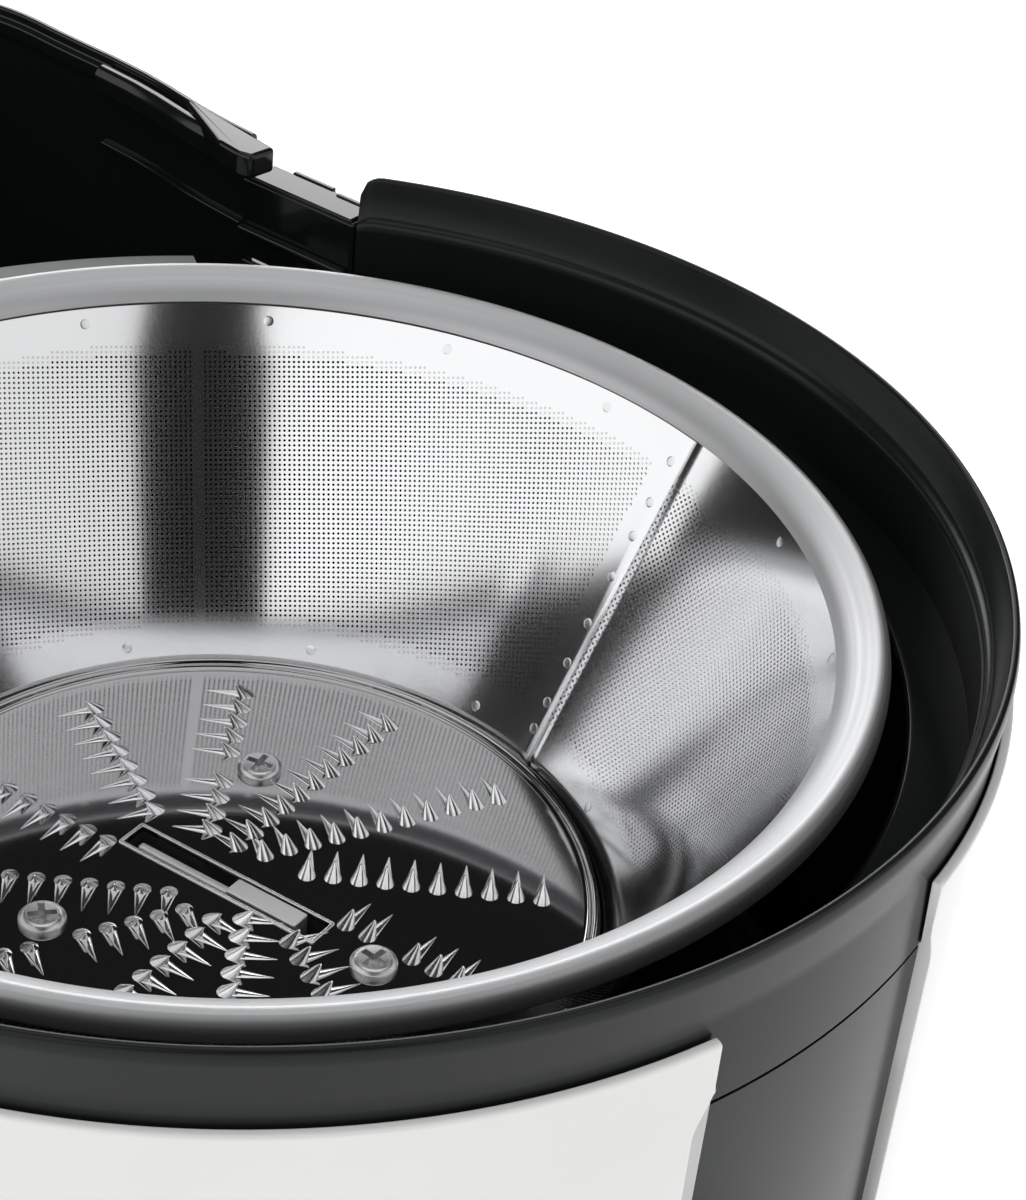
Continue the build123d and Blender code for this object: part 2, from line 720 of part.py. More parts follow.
# Lower bracket: plate, bearing cup and two legs up to the yoke
with BuildPart() as motor_lower_bracket:
    with BuildSketch(level(lower_bracket_z)):
        Circle(yoke_radius)
        with PolarLocations(24, 2, start_angle=90):
            Circle(6, mode=Mode.SUBTRACT)
    extrude(amount=bracket_thickness)
    with BuildSketch(level(lower_bracket_z + bracket_thickness - bearing_length)):
        Circle(bearing_radius + 2.5)
    extrude(amount=bearing_length)
    with BuildSketch(level(lower_bracket_z + bracket_thickness)):
        with PolarLocations(yoke_radius - yoke_thickness / 2, 2, start_angle=90):
            Rectangle(yoke_thickness, 12)
    extrude(amount=core_foot_z - lower_bracket_z - bracket_thickness)
    with BuildSketch(level(lower_bracket_z - bearing_length)):
        Circle(bearing_radius)
    extrude(amount=2 * bearing_length, mode=Mode.SUBTRACT)
motor_lower_bracket.part.label = "motor_lower_bracket"
export_step(motor_lower_bracket.part, "parts/motor_lower_bracket.step")

# Sintered bearings in both cups
with BuildPart() as upper_bearing:
    with BuildSketch(level(upper_bracket_z + bracket_thickness - bearing_length)):
        Circle(bearing_radius)
        Circle(shaft_radius + running_fit, mode=Mode.SUBTRACT)
    extrude(amount=bearing_length)
upper_bearing.part.label = "upper_bearing"
export_step(upper_bearing.part, "parts/upper_bearing.step")

with BuildPart() as lower_bearing:
    with BuildSketch(level(lower_bracket_z + bracket_thickness - bearing_length)):
        Circle(bearing_radius)
        Circle(shaft_radius + running_fit, mode=Mode.SUBTRACT)
    extrude(amount=bearing_length)
lower_bearing.part.label = "lower_bearing"
export_step(lower_bearing.part, "parts/lower_bearing.step")

# Laminated yoke with two poles
with BuildPart() as stator_core:
    with BuildSketch(level(core_foot_z)):
        Circle(yoke_radius)
        Circle(yoke_inner_radius, mode=Mode.SUBTRACT)
    extrude(amount=core_top_z - core_foot_z)
    for pole_angle in (0, 180):
        with BuildSketch(radial_plane(pole_angle - pole_half_angle)):
            profile(
                (pole_radius, core_foot_z),
                (yoke_inner_radius + 0.5, core_foot_z),
                (yoke_inner_radius + 0.5, core_top_z),
                (pole_radius, core_top_z),
            )
        revolve(axis=drive_axis, revolution_arc=2 * pole_half_angle)
stator_core.part.label = "stator_core"
export_step(stator_core.part, "parts/stator_core.step")

# Field coils, one round each pole
with BuildPart() as field_coils:
    for pole_angle in (0, 180):
        with BuildSketch(radial_plane(pole_angle - coil_half_angle)):
            profile(
                (pole_radius + 1.5, core_foot_z - winding_height),
                (yoke_inner_radius - 0.5, core_foot_z - winding_height),
                (yoke_inner_radius - 0.5, core_top_z + winding_height),
                (pole_radius + 1.5, core_top_z + winding_height),
            )
        revolve(axis=drive_axis, revolution_arc=2 * coil_half_angle)
    for pole_angle in (0, 180):
        with BuildSketch(radial_plane(pole_angle - pole_half_angle - 1.5)):
            profile(
                (pole_radius, core_foot_z - 0.5),
                (yoke_inner_radius, core_foot_z - 0.5),
                (yoke_inner_radius, core_top_z + 0.5),
                (pole_radius, core_top_z + 0.5),
            )
        revolve(axis=drive_axis, revolution_arc=2 * pole_half_angle + 3, mode=Mode.SUBTRACT)
field_coils.part.label = "field_coils"
export_step(field_coils.part, "parts/field_coils.step")

holder_z = lower_bracket_z + bracket_thickness
brush_width = 5.0
brush_height = commutator_length - 2.0
brush_reach = 14.0
brush_face_radius = commutator_radius + 0.1

# Brush holders stand on the lower bracket, on both sides of the commutator
with BuildPart() as brush_holders:
    with BuildSketch(level(holder_z)):
        with PolarLocations((commutator_radius + 2 + yoke_inner_radius - 2) / 2, 2):
            Rectangle(yoke_inner_radius - commutator_radius - 4, brush_width + 4)
    extrude(amount=commutator_length)
    with BuildSketch(level(holder_z + 1)):
        with PolarLocations(commutator_radius + 8, 2):
            Rectangle(18, brush_width)
    extrude(amount=brush_height, mode=Mode.SUBTRACT)
brush_holders.part.label = "brush_holders"
export_step(brush_holders.part, "parts/brush_holders.step")

with BuildPart() as carbon_brushes:
    with BuildSketch(level(holder_z + 1)):
        with PolarLocations(commutator_radius + brush_reach / 2 - 1, 2):
            Rectangle(brush_reach, brush_width)
        Circle(brush_face_radius, mode=Mode.SUBTRACT)
    extrude(amount=brush_height)
carbon_brushes.part.label = "carbon_brushes"
export_step(carbon_brushes.part, "parts/carbon_brushes.step")

# ---- Rotor ----
shaft_foot_z = lower_bracket_z - 4.0
coupling_z = deck_top_z + 3.0
coupling_top_z = hub_z - 5.0

with BuildPart() as motor_shaft:
    with BuildSketch(level(shaft_foot_z)):
        Circle(shaft_radius)
    extrude(amount=coupling_top_z - 4.0 - shaft_foot_z)
    chamfer(motor_shaft.edges().filter_by(GeomType.CIRCLE), length=0.6)
motor_shaft.part.label = "motor_shaft"
export_step(motor_shaft.part, "parts/motor_shaft.step")

# Laminated armature with slots for the winding
with BuildPart() as armature_core:
    with BuildSketch(level(core_foot_z)):
        Circle(armature_radius)
        with PolarLocations(armature_radius - 4, 12):
            SlotOverall(9, 4, mode=Mode.SUBTRACT)
        Circle(shaft_radius, mode=Mode.SUBTRACT)
    extrude(amount=core_top_z - core_foot_z)
armature_core.part.label = "armature_core"
export_step(armature_core.part, "parts/armature_core.step")

# Copper end turns at both ends of the armature
with BuildPart() as armature_winding:
    for foot_z in (core_foot_z - winding_height, core_top_z):
        with BuildSketch(level(foot_z)):
            Circle(armature_radius - 3)
            Circle(shaft_radius + 1, mode=Mode.SUBTRACT)
        extrude(amount=winding_height)
armature_winding.part.label = "armature_winding"
export_step(armature_winding.part, "parts/armature_winding.step")

with BuildPart() as commutator:
    with BuildSketch(level(holder_z + 0.5)):
        Circle(commutator_radius)
        Circle(shaft_radius, mode=Mode.SUBTRACT)
    extrude(amount=commutator_length)
commutator.part.label = "commutator"
export_step(commutator.part, "parts/commutator.step")

fan_z = deck_z - mount_height + 1.5
with BuildPart() as cooling_fan:
    with BuildSketch(level(fan_z)):
        Circle(fan_radius)
    extrude(amount=1.2)
    with BuildSketch(level(fan_z)):
        Circle(shaft_radius + 4)
    extrude(amount=fan_height)
    with BuildSketch(level(fan_z)):
        with PolarLocations(fan_radius / 2 + 4, 10):
            Rectangle(fan_radius - 10, 1.2)
    extrude(amount=fan_height)
    with BuildSketch(level(fan_z)):
        Circle(shaft_radius)
    extrude(amount=fan_height, mode=Mode.SUBTRACT)
cooling_fan.part.label = "cooling_fan"
export_step(cooling_fan.part, "parts/cooling_fan.step")

# Drive coupling: the spigot centres the basket, the flat tang turns it
with BuildPart() as drive_coupling:
    with BuildSketch(level(coupling_z)):
        Circle(coupling_radius)
    extrude(amount=coupling_top_z - coupling_z)
    with BuildSketch(level(coupling_top_z)):
        Circle(spigot_radius)
    extrude(amount=disc_z - 0.6 - coupling_top_z)
    with BuildSketch(level(coupling_top_z)):
        Rectangle(tang_length, tang_thickness, rotation=tang_angle)
    extrude(amount=disc_z + disc_thickness + 0.5 - coupling_top_z)
    with BuildSketch(level(coupling_z)):
        Circle(shaft_radius)
    extrude(amount=coupling_top_z - 4.0 - coupling_z, mode=Mode.SUBTRACT)
drive_coupling.part.label = "drive_coupling"
export_step(drive_coupling.part, "parts/drive_coupling.step")

# ======== Sieve basket, lifts off the drive ========

disc_screw_places = [
    (disc_screw_circle * cos(radians(angle)), disc_screw_circle * sin(radians(angle)))
    for angle in disc_screw_angles
]
locating_slot_place = (
    disc_screw_circle * cos(radians(locating_slot_angle)),
    disc_screw_circle * sin(radians(locating_slot_angle)),
)
slot_length = tang_length + 2 * slot_clearance + 0.8
slot_width = tang_thickness + 2 * slot_clearance
disc_screw_length = hub_thickness - 1.2

# Moulded hub under the disc; its edge holds the foot of the sheet
with BuildPart() as basket_hub:
    with BuildSketch(radial_plane()):
        profile(
            (0, hub_z),
            (disc_radius, hub_z),
            (sheet_point(disc_z, 0)[0] - 0.3, disc_z),
            (0, disc_z),
        )
    revolve(axis=drive_axis)
    with BuildSketch(level(hub_z - hub_skirt_depth)):
        Circle(hub_skirt_radius)
        Circle(hub_skirt_radius - 2.5, mode=Mode.SUBTRACT)
    extrude(amount=hub_skirt_depth)
    with BuildSketch(level(hub_z)):
        Circle(spigot_radius + running_fit)
        Rectangle(slot_length, slot_width, rotation=tang_angle)
    extrude(amount=hub_thickness, mode=Mode.SUBTRACT)
    with BuildSketch(level(disc_z)):
        with Locations(*disc_screw_places):
            Circle(screw_radius)
    extrude(amount=-disc_screw_length, mode=Mode.SUBTRACT)
basket_hub.part.label = "basket_hub"
export_step(basket_hub.part, "parts/basket_hub.step")

# Perforated cone, rolled from flat sheet and welded along one lap
with BuildPart() as sieve_cone:
    with BuildSketch(radial_plane()):
        profile(
            sheet_point(disc_z, 0),
            sheet_point(sheet_top_z, 0),
            sheet_point(sheet_top_z, sheet_thickness),
            sheet_point(disc_z, sheet_thickness),
        )
    revolve(axis=drive_axis)
sieve_cone.part.label = "sieve_cone"
export_step(sieve_cone.part, "parts/sieve_cone.step")

sieve_lip_radius = sieve_rim_radius - sieve_rim_width

# Rolled rim, spot-welded to the outside of the cone
with BuildPart() as sieve_rim:
    with BuildSketch(radial_plane()):
        profile(
            (sieve_lip_radius, crest_z - 3.9),
            (sieve_lip_radius + 0.5, crest_z - 2.8),
            (sieve_lip_radius + 2.6, crest_z - 0.8),
            (sieve_lip_radius + 4.3, crest_z),
            (sieve_lip_radius + 5.8, crest_z - 0.5),
            (sieve_rim_radius, crest_z - 2.2),
            (sieve_rim_radius - 0.2, crest_z - 3.6),
            (sieve_rim_radius - 1.1, crest_z - 4.2),
            (sieve_rim_radius - 0.9, crest_z - 2.6),
            (sieve_rim_radius - 2.5, crest_z - 1.1),
            (sieve_rim_radius - 3.8, crest_z - 1.7),
            (sieve_rim_radius - 5.0, crest_z - 3.4),
            sheet_point(crest_z - 8.8, sheet_thickness + 0.8),
            sheet_point(crest_z - 8.8, sheet_thickness),
            sheet_point(sheet_top_z, sheet_thickness),
        )
    revolve(axis=drive_axis)
sieve_rim.part.label = "sieve_rim"
export_step(sieve_rim.part, "parts/sieve_rim.step")


def tooth_places():
    """Places of the grating teeth: straight rows, kept clear of the screws and the slots."""
    places = []
    slot_turn = radians(tang_angle)
    kept_clear = [*disc_screw_places, locating_slot_place]
    for row, count in enumerate(tooth_counts):
        turn = radians(row * 360 / len(tooth_counts) + tooth_first_row)
        for step in range(count):
            along = tooth_outer_reach - step * tooth_pitch
            x = along * cos(turn) - tooth_row_offset * sin(turn)
            y = along * sin(turn) + tooth_row_offset * cos(turn)
            near = any(hypot(x - spot_x, y - spot_y) < 5.5 for spot_x, spot_y in kept_clear)
            slot_u = abs(x * cos(slot_turn) + y * sin(slot_turn))
            slot_v = abs(y * cos(slot_turn) - x * sin(slot_turn))
            if not near and (slot_u > slot_length / 2 + 2 or slot_v > slot_width / 2 + 2):
                places.append((x, y))
    return places


# Grater disc with a rolled edge, a slot for the tang and punched teeth
with BuildPart() as grater_disc:
    with BuildSketch(radial_plane()):
        profile(
            (0, disc_z),
            (disc_radius, disc_z),
            (disc_radius, disc_z + disc_bead),
            (disc_radius - 0.5, disc_z + disc_bead + 0.5),
            (disc_radius - 1.0, disc_z + disc_bead),
            (disc_radius - 1.2, disc_z + disc_thickness),
            (0, disc_z + disc_thickness),
        )
    revolve(axis=drive_axis)
    with BuildSketch(level(disc_z)):
        Rectangle(slot_length, slot_width, rotation=tang_angle)
        with Locations(*disc_screw_places):
            Circle(screw_radius)
        with Locations(locating_slot_place):
            Rectangle(*locating_slot_size, rotation=tang_angle + 30)
    extrude(amount=disc_thickness, mode=Mode.SUBTRACT)
    with Locations(level(disc_z + disc_thickness)):
        with Locations(*tooth_places()):
            Cone(
                tooth_radius,
                0.15,
                tooth_height,
                align=(Align.CENTER, Align.CENTER, Align.MIN),
            )
grater_disc.part.label = "grater_disc"
export_step(grater_disc.part, "parts/grater_disc.step")

# Three pan-head screws with cross recesses hold the disc on the hub
with BuildPart() as disc_screws:
    with BuildSketch(level(disc_z + disc_thickness)):
        with Locations(*disc_screw_places):
            Circle(screw_head_radius - 0.1)
    extrude(amount=1.9, taper=14)
    with BuildSketch(level(disc_z + disc_thickness + 1.9)):
        with Locations(*disc_screw_places):
            Rectangle(3.6, 0.9)
            Rectangle(0.9, 3.6)
    extrude(amount=-1.2, mode=Mode.SUBTRACT)
    with BuildSketch(level(disc_z + disc_thickness)):
        with Locations(*disc_screw_places):
            Circle(screw_radius)
    extrude(amount=-disc_thickness - disc_screw_length)
disc_screws.part.label = "disc_screws"
export_step(disc_screws.part, "parts/disc_screws.step")

# ======== Pulp container, slides out to the back ========

front_wall_radius = tower_radius + moving_gap
container_z = platform_height + fixed_gap
passage_z = seam_z - moving_gap

# Space inside the container, with the same hollow front as the tower
with BuildPart() as pulp_space:
    with BuildSketch(level(container_z + container_wall)):
        rear_plan(inset=container_wall)
        Circle(front_wall_radius + container_wall, mode=Mode.SUBTRACT)
    extrude(amount=rim_z)

with BuildPart() as pulp_container:
    with BuildSketch(level(container_z)):
        rear_plan()
        Circle(front_wall_radius, mode=Mode.SUBTRACT)
    extrude(amount=rim_z - container_z)
    add(pulp_space.part, mode=Mode.SUBTRACT)
    # Broad rim with a raised outer lip
    with BuildSketch(level(rim_z - container_rim_depth)):
        rear_plan(inset=1.0)
        rear_plan(inset=container_rim_width, mode=Mode.SUBTRACT)
    extrude(amount=container_rim_depth - rim_lip_height)
    # Rib along the inside of the walls
    with BuildSketch(level(rim_z - rib_drop)):
        rear_plan(inset=1.0)
        rear_plan(inset=container_wall + 1.2, mode=Mode.SUBTRACT)
    extrude(amount=1.2)
    # The front stays low, so that pulp can fall in from the weir
    with BuildSketch(level(passage_z)):
        with Locations((0, 0)):
            Rectangle(4 * ring_radius, 2 * (wing_end[1] + moving_gap))
        Circle(trough_radius + weir_reach + moving_gap)
    extrude(amount=rim_z, mode=Mode.SUBTRACT)
    # Locking tabs reach forwards over the wings
    with BuildSketch(level(rim_z - wing_drop + 0.5)):
        profile(
            (waist_x, waist_y),
            (waist_x + 1.2, waist_y - tab_length),
            (waist_x + 1.2 - tab_width + 2.5, waist_y - tab_length),
            (waist_x + 1.2 - tab_width, waist_y - tab_length + 5),
            (waist_x - 5.0, waist_y - 6),
            (waist_x - 1.6, waist_y),
        )
        mirror(about=Plane.YZ)
    extrude(amount=wing_drop - 0.5)
pulp_container.part.label = "pulp_container"
export_step(pulp_container.part, "parts/pulp_container.step")
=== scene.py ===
from math import atan2, cos, degrees, hypot, radians, sin, sqrt

import bmesh
import bpy
from mathutils import Matrix, Vector


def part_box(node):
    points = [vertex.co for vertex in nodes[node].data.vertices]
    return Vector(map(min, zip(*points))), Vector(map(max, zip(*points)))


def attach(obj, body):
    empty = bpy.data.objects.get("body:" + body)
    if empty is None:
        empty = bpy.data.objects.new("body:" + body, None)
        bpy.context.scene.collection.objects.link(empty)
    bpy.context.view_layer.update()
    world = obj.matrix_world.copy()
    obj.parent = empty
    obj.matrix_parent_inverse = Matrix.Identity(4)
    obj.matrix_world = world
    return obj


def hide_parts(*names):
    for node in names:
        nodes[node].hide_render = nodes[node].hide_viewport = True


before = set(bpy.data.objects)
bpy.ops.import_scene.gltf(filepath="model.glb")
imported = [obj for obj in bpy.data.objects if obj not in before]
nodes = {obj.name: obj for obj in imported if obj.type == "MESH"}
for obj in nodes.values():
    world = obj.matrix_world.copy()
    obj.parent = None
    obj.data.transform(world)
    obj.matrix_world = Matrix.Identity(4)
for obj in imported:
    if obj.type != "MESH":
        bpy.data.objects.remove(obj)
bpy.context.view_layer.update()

# ======== Perforated sheet of the sieve ========
# Polished stainless sheet, punched with small round holes on a square grid, rolled to a cone.
# Its ends lap over each other and are joined by a row of spot welds.

mm = 0.001
rim_low, rim_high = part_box("sieve_rim")
axis_y = (rim_low.y + rim_high.y) / 2
disc_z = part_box("grater_disc")[0].z
foot_radius = 52.7 * mm
sheet_depth = 49.0 * mm
sheet_widening = 25.9 * mm
slant = hypot(sheet_depth, sheet_widening)
cone_sine = sheet_widening / slant
cone_cosine = sheet_depth / slant
sheet_gauge = 0.4 * mm
hole_pitch = 0.75 * mm
hole_radius = 0.2 * mm
lap_angle = -9.0
turn_angle = 171.0
plain_angle = 52.5
far_grid_angle = 275.0
lap_width = 5.0 * mm
lap_step = 0.22 * mm
lap_ease = 14.0
plain_edge = 0.6 * mm
edge_rows = 2.0
edge_depth = 0.4
strip_half_width = 0.7
start_margin = 0.01
holes_from = 5.7 * mm
holes_to = 43.9 * mm
lower_border = (foot_radius + holes_from * sheet_widening / sheet_depth) / cone_sine
upper_border = (foot_radius + holes_to * sheet_widening / sheet_depth) / cone_sine


def place(radius, angle, height):
    """Point at a radius and an angle about the drive axis."""
    turn = radians(angle)
    return Vector((radius * cos(turn), axis_y + radius * sin(turn), height))


def fillet(points, closed=True, parts=4):
    """Outline whose corners (x, z, radius) are rounded; all lengths in millimetres."""
    rounded = []
    count = len(points)
    for index, point in enumerate(points):
        here = Vector(point[:2])
        inner = closed or 0 < index < count - 1
        radius = point[2] if len(point) > 2 else 0.0
        if not inner or radius == 0.0:
            rounded.append(here)
            continue
        before = Vector(points[index - 1][:2]) - here
        after = Vector(points[(index + 1) % count][:2]) - here
        cut = min(radius, before.length / 2.05, after.length / 2.05)
        start = here + before.normalized() * cut
        end = here + after.normalized() * cut
        for part in range(parts + 1):
            share = part / parts
            rounded.append(start.lerp(here, share).lerp(here.lerp(end, share), share))
    return rounded


def turned(points, start=0.0, sweep=360.0, steps=180, closed=True):
    """Outline (radius, height) in millimetres, spun about the drive axis."""
    form = bmesh.new()
    ring = [form.verts.new(place(point.x * mm, start, point.y * mm)) for point in points]
    ends = zip(ring, ring[1:] + ring[:1]) if closed else zip(ring, ring[1:])
    edges = [form.edges.new(pair) for pair in ends]
    bmesh.ops.spin(
        form,
        geom=ring + edges,
        cent=(0, axis_y, 0),
        axis=(0, 0, 1),
        angle=radians(sweep),
        steps=steps,
        use_merge=sweep == 360.0,
    )
    bmesh.ops.remove_doubles(form, verts=form.verts, dist=1e-7)
    if closed and sweep < 360.0:
        bmesh.ops.holes_fill(form, edges=[edge for edge in form.edges if edge.is_boundary])
    return form


def finished(name, form, material, ridge=38.0):
    """Object from a form, smooth except over edges sharper than the ridge angle."""
    bmesh.ops.remove_doubles(form, verts=form.verts, dist=1e-7)
    bmesh.ops.recalc_face_normals(form, faces=form.faces)
    for face in form.faces:
        face.smooth = True
    for edge in form.edges:
        edge.smooth = edge.calc_face_angle(0.0) < radians(ridge)
    mesh = bpy.data.meshes.new(name)
    form.to_mesh(mesh)
    form.free()
    mesh.materials.append(material)
    piece = bpy.data.objects.new(name, mesh)
    bpy.context.scene.collection.objects.link(piece)
    shading = piece.modifiers.new("shading", "WEIGHTED_NORMAL")
    shading.keep_sharp = True
    return piece


def steel(name, colour, roughness, grain=0.02, along="turned"):
    """Stainless steel whose fine polishing marks run round the drive axis, or at random."""
    material = bpy.data.materials.new(name)
    material.use_nodes = True
    tree = material.node_tree
    shader = tree.nodes["Principled BSDF"]
    shader.inputs["Metallic"].default_value = 1.0
    coords = tree.nodes.new("ShaderNodeTexCoord")
    source = coords.outputs["Object"]
    if along == "turned":
        moved = tree.nodes.new("ShaderNodeVectorMath")
        moved.operation = "SUBTRACT"
        moved.inputs[1].default_value = (0, axis_y, 0)
        tree.links.new(source, moved.inputs[0])
        split = tree.nodes.new("ShaderNodeSeparateXYZ")
        tree.links.new(moved.outputs[0], split.inputs[0])
        flat = tree.nodes.new("ShaderNodeVectorMath")
        flat.operation = "MULTIPLY"
        flat.inputs[1].default_value = (1, 1, 0)
        tree.links.new(moved.outputs[0], flat.inputs[0])
        radius = tree.nodes.new("ShaderNodeVectorMath")
        radius.operation = "LENGTH"
        tree.links.new(flat.outputs[0], radius.inputs[0])
        joined = tree.nodes.new("ShaderNodeCombineXYZ")
        tree.links.new(radius.outputs["Value"], joined.inputs["X"])
        tree.links.new(split.outputs["Z"], joined.inputs["Y"])
        source = joined.outputs[0]
    marks = tree.nodes.new("ShaderNodeTexNoise")
    marks.inputs["Scale"].default_value = 2600.0
    marks.inputs["Detail"].default_value = 4.0
    tree.links.new(source, marks.inputs["Vector"])
    clouds = tree.nodes.new("ShaderNodeTexNoise")
    clouds.inputs["Scale"].default_value = 55.0
    clouds.inputs["Detail"].default_value = 5.0
    tree.links.new(coords.outputs["Object"], clouds.inputs["Vector"])
    tint = tree.nodes.new("ShaderNodeMix")
    tint.data_type = "RGBA"
    tint.inputs["A"].default_value = (*(0.94 * part for part in colour), 1)
    tint.inputs["B"].default_value = (*colour, 1)
    tree.links.new(clouds.outputs["Fac"], tint.inputs["Factor"])
    tree.links.new(tint.outputs["Result"], shader.inputs["Base Color"])
    spread = tree.nodes.new("ShaderNodeMapRange")
    spread.inputs["To Min"].default_value = 0.7 * roughness
    spread.inputs["To Max"].default_value = 1.3 * roughness
    tree.links.new(marks.outputs["Fac"], spread.inputs["Value"])
    tree.links.new(spread.outputs["Result"], shader.inputs["Roughness"])
    relief = tree.nodes.new("ShaderNodeBump")
    relief.inputs["Strength"].default_value = grain
    relief.inputs["Distance"].default_value = 0.05 * mm
    tree.links.new(marks.outputs["Fac"], relief.inputs["Height"])
    tree.links.new(relief.outputs["Normal"], shader.inputs["Normal"])
    return material


def perforated(name, limits, middle_strip):
    """Steel with round holes on the grid of its UV map, where each limit's line allows them."""
    material = steel(name, (0.9, 0.905, 0.915), 0.13, grain=0.03, along="random")
    tree = material.node_tree
    grid = tree.nodes.new("ShaderNodeUVMap")
    grid.uv_map = "grid"

    def vector_step(operation, source, other=None):
        step = tree.nodes.new("ShaderNodeVectorMath")
        step.operation = operation
        tree.links.new(source, step.inputs[0])
        if other is not None:
            step.inputs[1].default_value = other
        is_number = operation in ("LENGTH", "DISTANCE", "DOT_PRODUCT")
        return step.outputs["Value" if is_number else "Vector"]

    def number_step(operation, source, other):
        step = tree.nodes.new("ShaderNodeMath")
        step.operation = operation
        tree.links.new(source, step.inputs[0])
        if isinstance(other, float):
            step.inputs[1].default_value = other
        else:
            tree.links.new(other, step.inputs[1])
        return step.outputs[0]

    inside = vector_step("FRACTION", grid.outputs["UV"])
    away = vector_step("DISTANCE", inside, (0.5, 0.5, 0))
    hole = number_step("LESS_THAN", away, hole_radius / hole_pitch)
    cell = vector_step("FLOOR", grid.outputs["UV"])
    centre = vector_step("ADD", cell, (0.5, 0.5, 0))
    reach = vector_step("LENGTH", centre)
    hole = number_step("MULTIPLY", hole, number_step("LESS_THAN", reach, upper_border / hole_pitch))
    hole = number_step("MULTIPLY", hole, number_step("GREATER_THAN", reach, lower_border / hole_pitch))
    for line, distance in limits:
        beyond = vector_step("DOT_PRODUCT", centre, (*line, 0))
        allowed = number_step("GREATER_THAN", beyond, distance / hole_pitch)
        hole = number_step("MULTIPLY", hole, allowed)
    if middle_strip:
        beside = number_step("ABSOLUTE", vector_step("DOT_PRODUCT", centre, (1, 0, 0)), 0.0)
        hole = number_step("MULTIPLY", hole, number_step("GREATER_THAN", beside, strip_half_width))
    deep = number_step("LESS_THAN", reach, upper_border / hole_pitch - edge_rows)
    above = number_step("GREATER_THAN", reach, lower_border / hole_pitch + edge_rows)
    deep = number_step("MULTIPLY", deep, above)
    depth = number_step("ADD", number_step("MULTIPLY", deep, 1.0 - edge_depth), edge_depth)
    opening = number_step("MULTIPLY", hole, depth)
    clear = tree.nodes.new("ShaderNodeBsdfTransparent")
    blend = tree.nodes.new("ShaderNodeMixShader")
    tree.links.new(opening, blend.inputs[0])
    tree.links.new(tree.nodes["Principled BSDF"].outputs[0], blend.inputs[1])
    tree.links.new(clear.outputs[0], blend.inputs[2])
    tree.links.new(blend.outputs[0], tree.nodes["Material Output"].inputs["Surface"])
    return material


def turn_from(point, start):
    """Angle of a point about the drive axis, in degrees, counted on from a start angle."""
    return (degrees(atan2(point.y - axis_y, point.x)) - start + start_margin) % 360


def lapped_in(beyond):
    """Share of the lap's step that is left at an angle beyond its edge."""
    return max(0.0, 1.0 - beyond / lap_ease)


def across(angle, grid_angle):
    """Direction at right angles to a generator of the cone, in the unrolled sheet."""
    unrolled = radians(angle - grid_angle) * cone_sine
    return cos(unrolled), -sin(unrolled)


def sheet_half(name, start, grid_angle, lap, material):
    """Half of the cone, with the unrolled sheet's hole grid as its UV map."""
    foot = (foot_radius / mm, disc_z / mm)
    top = ((foot_radius + sheet_widening) / mm, (disc_z + sheet_depth) / mm)
    outline = [Vector(foot).lerp(Vector(top), step / 6) for step in range(7)]
    form = turned(outline, start, 180.0, 120, closed=False)
    unrolled = form.loops.layers.uv.new("grid")
    for face in form.faces:
        if face.normal.dot(face.calc_center_median() - Vector((0, axis_y, disc_z))) > 0:
            face.normal_flip()
        for loop in face.loops:
            spot = loop.vert.co
            angle = turn_from(spot, start) + start
            reach = (foot_radius + (spot.z - disc_z) * sheet_widening / sheet_depth) / cone_sine
            turn = radians(angle - grid_angle) * cone_sine
            loop[unrolled].uv = (reach * sin(turn) / hole_pitch, reach * cos(turn) / hole_pitch)
    for vert in form.verts:
        angle = turn_from(vert.co, start)
        inwards = lap * lapped_in(angle)
        radius = hypot(vert.co.x, vert.co.y - axis_y)
        vert.co = place(radius - inwards, angle + start, vert.co.z)
    for face in form.faces:
        face.smooth = True
    mesh = bpy.data.meshes.new(name)
    form.to_mesh(mesh)
    form.free()
    mesh.materials.append(material)
    half = bpy.data.objects.new(name, mesh)
    bpy.context.scene.collection.objects.link(half)
    gauge = half.modifiers.new("gauge", "SOLIDIFY")
    gauge.thickness = sheet_gauge
    gauge.offset = -1.0
    shading = half.modifiers.new("shading", "WEIGHTED_NORMAL")
    shading.mode = "FACE_AREA"
    return half


back_line = across(turn_angle, plain_angle)
lapped_sheet = perforated(
    "lapped_sheet_steel",
    [
        (across(lap_angle, plain_angle), lap_width),
        ((-back_line[0], -back_line[1]), plain_edge),
    ],
    True,
)
inner_half = sheet_half("sieve_sheet_lapped", lap_angle, plain_angle, lap_step, lapped_sheet)
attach(inner_half, "basket")
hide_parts("sieve_cone")
plain_sheet = perforated(
    "under_sheet_steel",
    [(across(turn_angle, far_grid_angle), plain_edge)],
    False,
)
outer_half = sheet_half("sieve_sheet_under", turn_angle, far_grid_angle, 0.0, plain_sheet)
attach(outer_half, "basket")

# ======== Spot welds of the sheet ========
# Small flattened buttons left by the welding tips: along the lap, and round the plain bands
# above and below the holes, where the rim and the hub are fixed.

